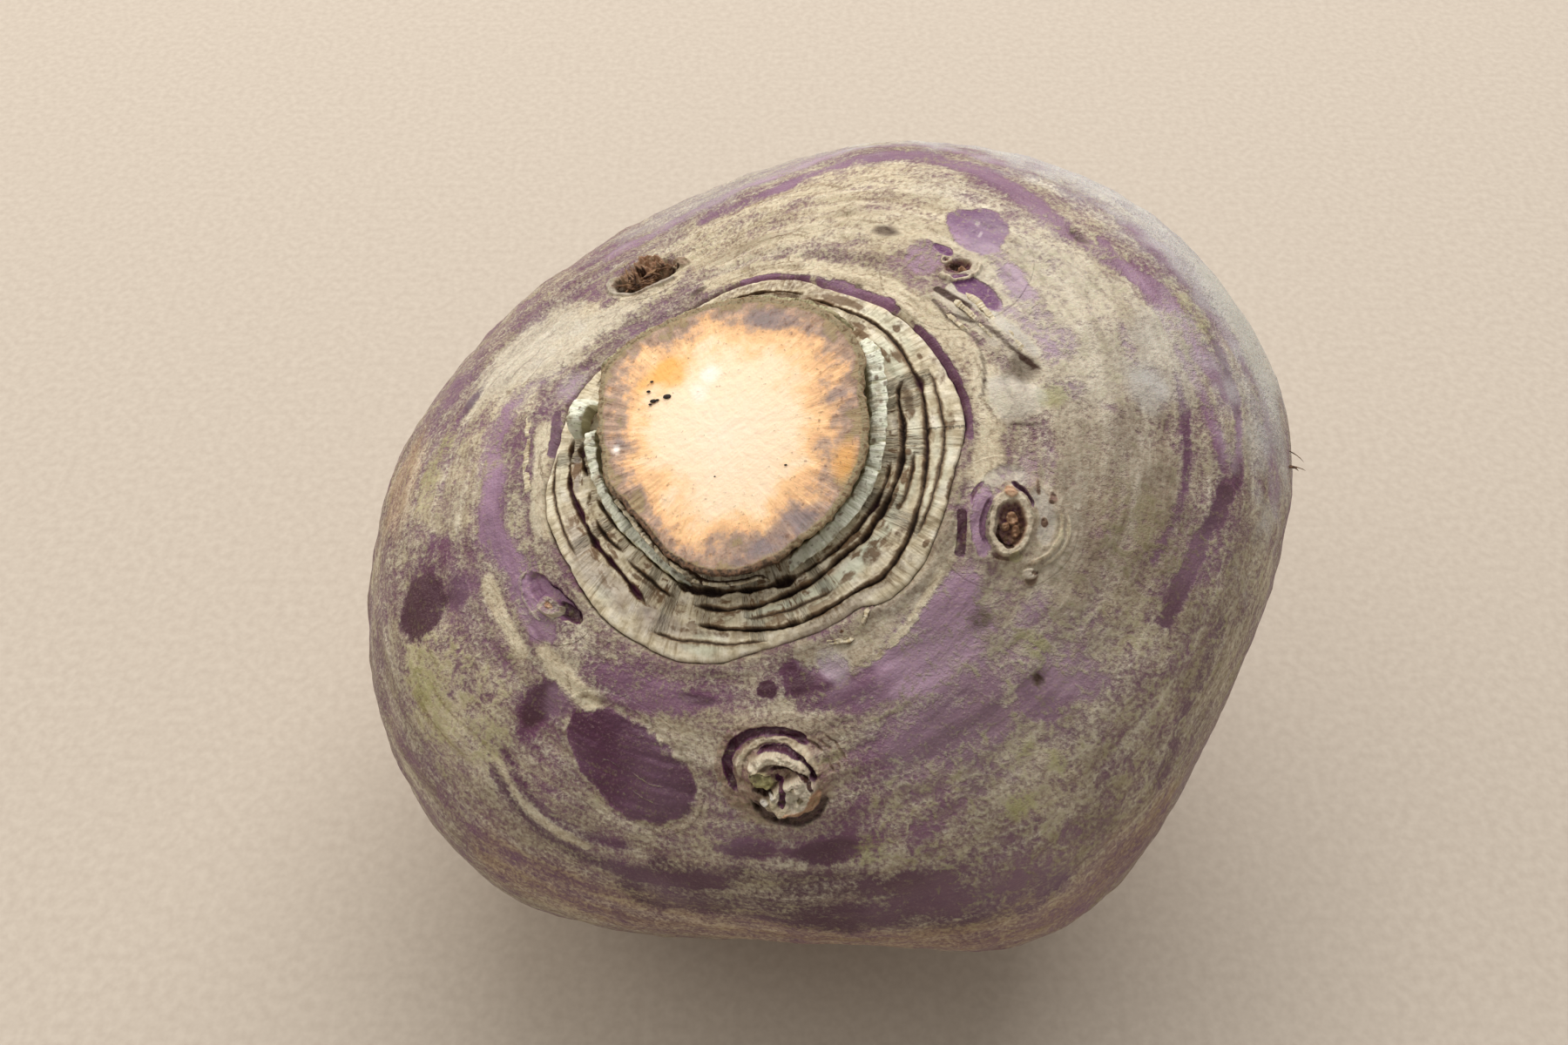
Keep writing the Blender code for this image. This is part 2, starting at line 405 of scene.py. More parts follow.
@dataclass
class Net:
    """A closed net of rings, as on a ball, whose vertices a formula then moves into shape.

    round_share runs from 0 to 1 round each ring, and down_share from 0 at the first pole to 1 at the
    last one.
    """

    mesh: Mesh
    round_share: Array
    down_share: Array
    # Vertices nearer than this on the unit ball are made one
    WELD: ClassVar[float] = 2e-6

    @classmethod
    def make(cls, name: str, steps: int, rings: int) -> Net:
        """Roll a grid up into a closed net.

        Args:
            name: The mesh's name.
            steps: Vertices round each ring.
            rings: Bands of faces from pole to pole.

        Returns:
            The new net.
        """
        form = bmesh.new()
        bmesh.ops.create_grid(form, x_segments=steps, y_segments=rings, size=0.5)
        for vert in form.verts:
            turn, down = math.tau * (vert.co.x + 0.5), math.pi * (vert.co.y + 0.5)
            flat = math.sin(down)
            vert.co = (flat * math.cos(turn), flat * math.sin(turn), math.cos(down))
        bmesh.ops.remove_doubles(form, verts=form.verts, dist=cls.WELD)
        bmesh.ops.recalc_face_normals(form, faces=form.faces)
        mesh = mesh_of(form, name)
        ball = places_of(mesh)
        round_share = (np.arctan2(ball[:, 1], ball[:, 0]) / math.tau) % 1
        down_share = np.round(np.arccos(np.clip(ball[:, 2], -1, 1)) / math.pi * rings) / rings
        return cls(mesh, round_share, down_share)

    def settle(self, places: Array) -> Mesh:
        """Move the net to its final places with its faces pointing out.

        Args:
            places: One row for each vertex, in the world.

        Returns:
            The finished mesh.
        """
        set_places(self.mesh, places)
        form = bmesh.new()
        form.from_mesh(self.mesh)
        if form.calc_volume(signed=True) < 0:
            bmesh.ops.reverse_faces(form, faces=form.faces)
            form.to_mesh(self.mesh)
        form.free()
        return self.mesh


def gather(name: str, net: Net, copies: Iterable[Array]) -> Mesh:
    """Join copies of one net, each moved to its own places.

    Args:
        name: The joined mesh's name.
        net: The net that each copy starts from.
        copies: World places of the net's vertices, for each copy.

    Returns:
        The joined mesh.
    """
    form = bmesh.new()
    for places in copies:
        form.from_mesh(net.settle(places))
    return mesh_of(form, name)


def show(mesh: Mesh, material: Material) -> Object:
    """Put a finished mesh in the scene as a piece of the root.

    Args:
        mesh: The mesh, with its place in its vertices.
        material: Its finish.

    Returns:
        The new object.
    """
    mesh.materials.append(material)
    mesh.shade_smooth()
    piece = add_object(mesh.name, mesh)
    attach(piece, BODY)
    LOG.info("%s: %d faces", mesh.name, len(mesh.polygons))
    return piece


# ---- materials


def colour(code: str) -> tuple[float, float, float, float]:
    """Turn an sRGB hex code into linear red, green, blue and alpha.

    Args:
        code: Six hex digits after a hash.

    Returns:
        The linear colour.
    """
    parts = [int(code[i:i + 2], 16) / 255 for i in (1, 3, 5)]
    linear = [p / 12.92 if p <= 0.04045 else ((p + 0.055) / 1.055) ** 2.4 for p in parts]
    return (*linear, 1)


# Settings that many nodes share
BLEND = {"data_type": "RGBA"}
TIMES = {"operation": "MULTIPLY"}
TIMES_PLUS = {"operation": "MULTIPLY_ADD"}


def add_node(tree: NodeTree, kind: str, *values: Any,
             stops: Sequence[tuple[float, str]] = (), **named: Any) -> Node:
    """Add one node with its settings and links.

    A value may be a number, a vector, a hex code, an output socket, or a node that stands for its
    first output.

    Args:
        tree: The material's node tree.
        kind: The node's type name, without its ShaderNode prefix.
        *values: Values for the node's inputs, in their order.
        stops: Positions and hex codes, for a colour ramp.
        **named: Settings in lower case, and inputs by capitalised name, with _ for a blank.

    Returns:
        The new node.
    """
    node = tree.nodes.new("ShaderNode" + kind)
    for name, value in named.items():
        if name[0].islower():
            setattr(node, name, value)
    for number, (position, code) in enumerate(stops):
        ramp = node.color_ramp.elements
        stop = ramp[number] if number < 2 else ramp.new(position)
        stop.position = position
        stop.color = colour(code)
    feeds = list(zip((socket for socket in node.inputs if socket.enabled), values))
    feeds += [(node.inputs[name.replace("_", " ")], value)
              for name, value in named.items() if name[0].isupper()]
    for socket, value in feeds:
        if isinstance(value, Node):
            value = next(output for output in value.outputs if output.enabled)
        if isinstance(value, NodeSocket):
            tree.links.new(value, socket)
        else:
            socket.default_value = colour(value) if isinstance(value, str) else value
    return node


def new_material(name: str) -> tuple[Material, Callable[..., Node]]:
    """Start a material with an empty node tree.

    Args:
        name: The finish's plain name.

    Returns:
        The material, and add_node for its tree.
    """
    material = bpy.data.materials.new(name)
    material.use_nodes = True
    material.node_tree.nodes.clear()
    return material, partial(add_node, material.node_tree)


@dataclass(frozen=True)
class RindFinish:
    """Living rind of a purple-top root, grown and then stored.

    Its skin is waxy purple, wine or lilac where it is bare, and dull tan where a dry corky scurf
    covers it. The scurf lies in streaks round the crown, in fine specks, or in a wormy net.
    """

    name: str = "waxy_purple_rind"

    def build(self) -> Material:
        """Make the material from the fields that the rind's mesh carries.

        Returns:
            The new material.
        """
        material, make = new_material(self.name)
        crown, rings, pigment, cover, ground = (
            make("Attribute", attribute_name=name).outputs["Vector"]
            for name in ("crown", "rings", "pigment", "cover", "ground"))
        tan, wine, lilac = make("SeparateXYZ", pigment).outputs
        net, green, bloom = make("SeparateXYZ", cover).outputs
        soil, pale, cream = make("SeparateXYZ", ground).outputs

        # Streaks 8 mm long and 1 mm wide, blotches of 5 mm, specks and worms of about a millimetre
        along_rings = make("VectorMath", rings, (0.13, 0.13, 1), **TIMES)
        streak = make("TexNoise", along_rings, Scale=1 / 1.1, Detail=4, Roughness=0.62)
        blotch = make("TexNoise", crown, Scale=1 / 5, Detail=3)
        speck = make("TexNoise", crown, Scale=1 / 0.5, Detail=3, Roughness=0.65)
        worm_space = make("VectorMath", rings, (1, 1, 0.75), **TIMES)
        worm = make("TexNoise", worm_space, Scale=1 / 1.3, Detail=3, Roughness=0.6, Distortion=0.9)
        tone = make("TexNoise", along_rings, Scale=1 / 2.3, Detail=5, Roughness=0.7, Distortion=0.3)
        streaky = make("Mix", 0.42, make("Mix", 0.32, streak, blotch), speck)
        wormy = make("Mix", 0.42, worm, speck)
        pattern = make("Mix", net, streaky, wormy)
        spread = make("Math", pattern, 2.6, -1.3, **TIMES_PLUS)
        cover = make("MapRange", make("Math", tan, spread), 0.12, 0.86, interpolation_type="SMOOTHSTEP")

        # Corky scurf, browner in its streaks, and fading to cream low on the root
        grit = make("Mix", 0.48, tone, speck)
        corky = make("ValToRGB", grit, stops=(
            (0.33, "#69594a"), (0.44, "#8b7c6b"), (0.54, "#a89d8c"), (0.66, "#d0c8b9")))
        warm = make("ValToRGB", grit, stops=(
            (0.34, "#88765c"), (0.44, "#b2a48b"), (0.54, "#ccc1a8"), (0.66, "#e3dbc6")))
        below = make("ValToRGB", grit, stops=((0.34, "#84604a"), (0.48, "#aa8569"), (0.64, "#c8ad90")))
        scurf = make("Mix", cream, corky, warm, **BLEND)
        scurf = make("Mix", pale, scurf, below, **BLEND)
        # Bare skin, from purple to violet, wine or lilac, dusted with pale grains
        violet = make("MapRange", wine, -0.5, 0, 1, 0)
        skin = make("Mix", violet, "#77446a", "#683569", **BLEND)
        skin = make("Mix", wine, skin, "#3c1126", **BLEND)
        skin = make("Mix", lilac, skin, "#ab8ba6", **BLEND)
        skin = make("Mix", make("Math", net, 0.3, **TIMES), skin, "#705355", **BLEND)
        skin = make("Mix", make("MapRange", tone, 0.4, 0.64, 0, 0.35), skin, "#54304b", **BLEND)
        dust = make("TexNoise", crown, Scale=1 / 0.34, Detail=1.5)
        dusty = make("Math", make("MapRange", dust, 0.58, 0.71, 0, 0.45),
                     make("MapRange", wine, 0, 1, 1, 0.4), **TIMES)
        skin = make("Mix", dusty, skin, "#a8928b", **BLEND)
        # The creamiest cork is crazed into flakes of 3 mm by brown lines
        bent = make("VectorMath", along_rings, (3.2, 3.2, 1), **TIMES)
        bent = make("VectorMath", bent, blotch.outputs["Color"])
        bent = make("VectorMath", bent, speck.outputs["Color"])
        flake = make("TexVoronoi", bent, Scale=1 / 2.6, feature="DISTANCE_TO_EDGE")
        crazed = make("Math", make("MapRange", flake, 0, 0.07, 0.75, 0), cream, **TIMES)
        scurf = make("Mix", make("Math", crazed, make("MapRange", streak, 0.42, 0.6), **TIMES), scurf,
                     "#7c6750", **BLEND)
        tint = make("Mix", cover, skin, scurf, **BLEND)

        # Green where light reached the skin, grey wax bloom with a painted sheen on the far side, and soil
        # in the hollows with painted shadow below the front bud
        mossy = make("MapRange", make("Math", green, make("Math", spread, 2.4, **TIMES)), 0.2, 1.4, 0, 0.62)
        tint = make("Mix", mossy, tint, "#99985c", **BLEND)
        tint = make("Mix", make("Math", bloom, 0.8, **TIMES), tint, "#c6c6c6", **BLEND)
        dirt_and_shade = make("MapRange", make("Math", soil, make("Math", spread, 0.7, **TIMES)), 0.15, 0.95)
        tint = make("Mix", dirt_and_shade, tint, "#3d2518", **BLEND)

        rough = make("Math", cover, 0.22, 0.46, **TIMES_PLUS)
        normal = make("Bump", Height=cover, Distance=0.1 * MM)
        normal = make("Bump", Height=grit, Distance=0.4 * MM, Normal=normal)
        surface = make("BsdfPrincipled", Base_Color=tint, Roughness=rough, Normal=normal, IOR=1.45,
                       Subsurface_Weight=0.04, Subsurface_Scale=1.5 * MM)
        make("OutputMaterial", surface)
        return material


@dataclass(frozen=True)
class CutFinish:
    """Knife-cut flesh of the neck, dried for days.

    It stays peach in the middle, and turns fibrous, brown and bruised towards the rim.
    """

    name: str = "dried_cut_flesh"

    def build(self) -> Material:
        """Make the material from the neck's fields.

        Returns:
            The new material.
        """
        material, make = new_material(self.name)
        crown, spoke, marks = (make("Attribute", attribute_name=name).outputs["Vector"]
                               for name in ("crown", "spoke", "marks"))
        rim, rot = (make("Attribute", attribute_name=name).outputs["Fac"] for name in ("rim", "rot"))
        orange, white, bruise = make("SeparateXYZ", marks).outputs
        # Fibres run outwards, 0.3 mm wide and 2 mm long, and show only in the outer third
        fibre = make("TexNoise", spoke, Scale=1 / 0.3, Detail=3, Roughness=0.6)
        blotch = make("TexNoise", crown, Scale=1 / 3.4, Detail=5, Roughness=0.62)
        speck = make("TexNoise", crown, Scale=1 / 0.6, Detail=3, Roughness=0.6)
        # The knife left strokes 0.4 mm apart, aslant
        aslant = make("VectorRotate", crown, Angle=math.radians(-38), rotation_type="Z_AXIS")
        stroke = make("TexNoise", make("VectorMath", aslant, (0.08, 1, 1), **TIMES), Scale=1 / 0.4, Detail=3)
        uneven = make("Math", make("Math", fibre, 0.05, -0.025, **TIMES_PLUS),
                      make("Math", blotch, 1.05, -0.525, **TIMES_PLUS))
        uneven = make("Math", uneven, make("MapRange", rim, 0.1, 0.75), **TIMES)
        tint = make("ValToRGB", make("Math", rim, uneven), stops=(
            (0, "#fde7cf"), (0.5, "#fde3c3"), (0.68, "#f8cc99"), (0.78, "#e6b98c"),
            (0.86, "#c0a18a"), (0.95, "#a1897a"), (1, "#a08d6c")))
        tint = make("Mix", make("Math", orange, 0.9, **TIMES), tint, "#f3b767", **BLEND)
        tint = make("Mix", make("Math", white, 0.85, **TIMES), tint, "#fdf5ec", **BLEND)
        tint = make("Mix", make("MapRange", make("Math", bruise, uneven), 0.2, 1, 0, 0.75), tint,
                    "#857b82", **BLEND)
        # Bark on the side: olive and mint where it is sound, brown and dark on the front, as rot and painted
        # shade
        flaky = make("Mix", make("MapRange", speck, 0.4, 0.6), "#6d573c", "#a7a27f", **BLEND)
        rotted_and_shaded_bark = make("Mix", make("MapRange", speck, 0.4, 0.62), "#3a281b", "#7b634a", **BLEND)
        bark = make("Mix", rot, flaky, rotted_and_shaded_bark, **BLEND)
        tint = make("Mix", make("MapRange", rim, 1.04, 1.16), tint, bark, **BLEND)
        flecks = make("MapRange", make("Math", speck, make("Math", rim, 0.2, **TIMES)), 0.74, 0.86, 0, 0.6)
        tint = make("Mix", flecks, tint, "#7a5642", **BLEND)
        fibrous = make("Math", fibre, make("MapRange", rim, 0.45, 0.85), **TIMES)
        normal = make("Bump", Height=fibrous, Distance=0.11 * MM)
        normal = make("Bump", Height=stroke, Distance=0.05 * MM, Normal=normal)
        normal = make("Bump", Height=speck, Distance=0.1 * MM, Normal=normal)
        surface = make("BsdfPrincipled", Base_Color=tint, Roughness=0.55, Normal=normal, IOR=1.4,
                       Subsurface_Weight=0.15, Subsurface_Scale=1.5 * MM)
        make("OutputMaterial", surface)
        return material


@dataclass(frozen=True)
class CollarFinish:
    """Leaf scars round the neck: dry, pale, ribbed cork with brown vessels and dark splits."""

    name: str = "dry_leaf_scar"

    def build(self) -> Material:
        """Make the material from the collar's fields.

        Returns:
            The new material.
        """
        material, make = new_material(self.name)
        section, splits, hue = (make("Attribute", attribute_name=name).outputs["Vector"]
                                for name in ("section", "splits", "hue"))
        dark, maroon, edge = make("SeparateXYZ", splits).outputs
        mint, lilac, brown = make("SeparateXYZ", hue).outputs
        # Ribs cross each scar every 0.35 mm, and vessels show as brown dots under a millimetre
        across_ribs = make("VectorMath", section, (1, 0.1, 1), **TIMES)
        rib = make("TexNoise", across_ribs, Scale=1 / 0.36, Detail=2.5)
        tick = make("TexNoise", across_ribs, Scale=1 / 1.3, Detail=5, Roughness=0.8)
        blotch = make("TexNoise", section, Scale=1 / 1.9, Detail=4, Roughness=0.6)
        speck = make("TexNoise", section, Scale=1 / 0.55, Detail=3, Roughness=0.6)
        # The ribs show in places only, and pits line up along the inner scars
        patch = make("TexNoise", section, Scale=1 / 5, Detail=2)
        ribbed = make("MapRange", patch, 0.42, 0.6, 0.06, 0.34)
        along = make("VectorMath", section, (0.45, 1, 1), **TIMES)
        pit = make("TexNoise", along, Scale=1 / 1.1, Detail=3, Roughness=0.55)
        inner = make("MapRange", make("SeparateXYZ", section).outputs["Y"], 23.4, 20.4, 0, 0.9)
        tint = make("ValToRGB", make("Mix", ribbed, blotch, rib), stops=(
            (0.36, "#b0a386"), (0.46, "#cfc4a9"), (0.56, "#e2dac4"), (0.68, "#f0eadb")))
        tint = make("Mix", make("Math", mint, 0.8, **TIMES), tint, "#d3dac6", **BLEND)
        tint = make("Mix", make("Math", lilac, 0.8, **TIMES), tint, "#9c8f8a", **BLEND)
        tint = make("Mix", make("Math", edge, 0.75, **TIMES), tint, "#ddd5b8", **BLEND)
        # Painted shade darkens the furrows between the ribs
        rib_furrow_shade = make("Math", make("MapRange", rib, 0.46, 0.36, 0, 1.6), ribbed, **TIMES)
        tint = make("Mix", rib_furrow_shade, tint, "#8c7a5e", **BLEND)
        pitted = make("Math", make("MapRange", pit, 0.54, 0.62), inner, **TIMES)
        tint = make("Mix", pitted, tint, "#725639", **BLEND)
        tint = make("Mix", make("MapRange", tick, 0.35, 0.29, 0, 0.7), tint, "#553f2b", **BLEND)
        patchy = make("Math", make("Mix", 0.5, blotch, speck), 2.4, -1.2, **TIMES_PLUS)
        browned = make("MapRange", make("Math", brown, patchy), 0.3, 0.8, 0, 0.9)
        tint = make("Mix", browned, tint, "#6b5238", **BLEND)
        # Brown halos and dark cores of the splits; the dark field also paints the shade on the floor under
        # the neck
        fade = make("Mix", maroon, "#33201a", "#5a2240", **BLEND)
        splits_and_neck_shade = make("Math", dark, make("Math", speck, 0.9, -0.45, **TIMES_PLUS))
        tint = make("Mix", make("MapRange", splits_and_neck_shade, 0.08, 0.5, 0, 0.85), tint, "#725738", **BLEND)
        tint = make("Mix", make("MapRange", splits_and_neck_shade, 0.45, 0.95), tint, fade, **BLEND)
        normal = make("Bump", Height=make("Math", rib, ribbed, **TIMES), Distance=0.5 * MM)
        normal = make("Bump", Height=speck, Distance=0.14 * MM, Normal=normal)
        surface = make("BsdfPrincipled", Base_Color=tint, Roughness=0.66, Normal=normal, IOR=1.45)
        make("OutputMaterial", surface)
        return material


@dataclass(frozen=True)
class LeafBaseFinish:
    """The corky foot of a cut leaf stalk: pale, ribbed and dotted on top, brown down its sides."""

    name: str
    top: str
    shade: str
    side: str

    def build(self) -> Material:
        """Make the material from the section field: length along, place across, and height.

        Returns:
            The new material.
        """
        material, make = new_material(self.name)
        section, crown = (make("Attribute", attribute_name=name).outputs["Vector"]
                          for name in ("section", "crown"))
        above = make("SeparateXYZ", section).outputs["Z"]
        # Ribs cross the stalk every 0.35 mm, and vessels dot its middle every 1.5 mm or so
        across_ribs = make("VectorMath", section, (1, 0.15, 0), **TIMES)
        rib = make("TexNoise", across_ribs, Scale=1 / 0.35, Detail=2)
        blotch = make("TexNoise", crown, Scale=1 / 2.2, Detail=4, Roughness=0.6)
        speck = make("TexNoise", crown, Scale=1 / 0.5, Detail=3, Roughness=0.6)
        tint = make("Mix", make("MapRange", rib, 0.38, 0.62, 1, 0), self.top, self.shade, **BLEND)
        tint = make("Mix", make("MapRange", blotch, 0.52, 0.68, 0, 0.7), tint, "#8a7657", **BLEND)
        tint = make("Mix", make("MapRange", speck, 0.58, 0.72, 0, 0.65), tint, "#573e2c", **BLEND)
        spread = make("VectorMath", section, (0.62, 0.9, 0), **TIMES)
        vessel = make("TexVoronoi", spread, Scale=1)
        tint = make("Mix", make("MapRange", vessel, 0.14, 0.26, 0.8, 0), tint, "#6a4c33", **BLEND)
        ragged = make("Math", above, make("Math", speck, 0.4, -0.2, **TIMES_PLUS))
        down = make("MapRange", ragged, 0.62, 0.92, 1, 0)
        tint = make("Mix", down, tint, self.side, **BLEND)
        normal = make("Bump", Height=rib, Distance=0.22 * MM)
        normal = make("Bump", Height=speck, Distance=0.15 * MM, Normal=normal)
        surface = make("BsdfPrincipled", Base_Color=tint, Roughness=0.72, Normal=normal, IOR=1.45)
        make("OutputMaterial", surface)
        return material


@dataclass(frozen=True)
class TissueFinish:
    """Shrunken bud scales or rotted pith: dry, ridged and mottled between three tones."""

    name: str
    light: str
    middle: str
    dark: str
    patch_mm: float = 1.1
    roughness: float = 0.75

    def build(self) -> Material:
        """Make the material on object coordinates.

        Returns:
            The new material.
        """
        material, make = new_material(self.name)
        place = make("TexCoord").outputs["Object"]
        blotch = make("TexNoise", place, Scale=1 / (self.patch_mm * MM), Detail=4, Roughness=0.6)
        speck = make("TexNoise", place, Scale=1 / (0.3 * MM), Detail=2)
        tint = make("ValToRGB", blotch, stops=((0.37, self.dark), (0.5, self.middle), (0.62, self.light)))
        tint = make("Mix", make("MapRange", speck, 0.56, 0.72, 0, 0.5), tint, self.dark, **BLEND)
        normal = make("Bump", Height=blotch, Distance=0.3 * MM)
        normal = make("Bump", Height=speck, Distance=0.1 * MM, Normal=normal)
        surface = make("BsdfPrincipled", Base_Color=tint, Roughness=self.roughness, Normal=normal, IOR=1.45)
        make("OutputMaterial", surface)
        return material


@dataclass(frozen=True)
class BoardFinish:
    """Uncoated pale board under the root: matt and nearly even."""

    name: str = "uncoated_pale_board"

    def build(self) -> Material:
        """Make the material on object coordinates.

        Returns:
            The new material.
        """
        material, make = new_material(self.name)
        # Fibres of 1.5 mm barely mottle it
        mottle = make("TexNoise", make("TexCoord").outputs["Object"], Scale=1 / (1.5 * MM))
        tint = make("ValToRGB", mottle, stops=((0.3, "#b8aea2"), (0.7, "#c2b9ad")))
        make("OutputMaterial", make("BsdfPrincipled", Base_Color=tint, Roughness=0.9))
        return material


# ---- the rind


@dataclass(frozen=True)
class Tint:
    """What a mark adds to the rind's fields.

    tan is the share of scurf over the skin. wine and lilac are the skin's hue. net turns the scurf
    from streaks and specks into a wormy net, and cream warms it. green is a green flush, and pale
    the cream skin of the root's lower half. The grey wax field also carries a painted sheen, and the
    dirt field also carries painted shadow.
    """

    tan: float = 0.0
    wine: float = 0.0
    lilac: float = 0.0
    net: float = 0.0
    green: float = 0.0
    bloom: float = 0.0
    soil: float = 0.0
    pale: float = 0.0
    cream: float = 0.0


@dataclass(frozen=True)
class Patch:
    """A ragged oval mark: its middle, its half sizes in mm round the crown and down, and its tint.

    turn tips the side of the oval that faces round the crown downwards, in degrees.
    """

    azimuth: float
    polar: float
    half_round: float
    half_down: float
    tint: Tint
    edge: float = 0.4
    turn: float = 0.0


@dataclass(frozen=True)
class Streak:
    """A ragged band that runs round the crown through points of azimuth and polar angle."""

    points: Pairs
    half_down: float
    tint: Tint
    edge: float = 0.45


BARE_WINE = Tint(tan=-0.75, wine=1)
BARE_LILAC = Tint(tan=-0.4, wine=-0.2, lilac=0.75)
MOSS = Tint(green=0.6, cream=0.4, tan=0.1)

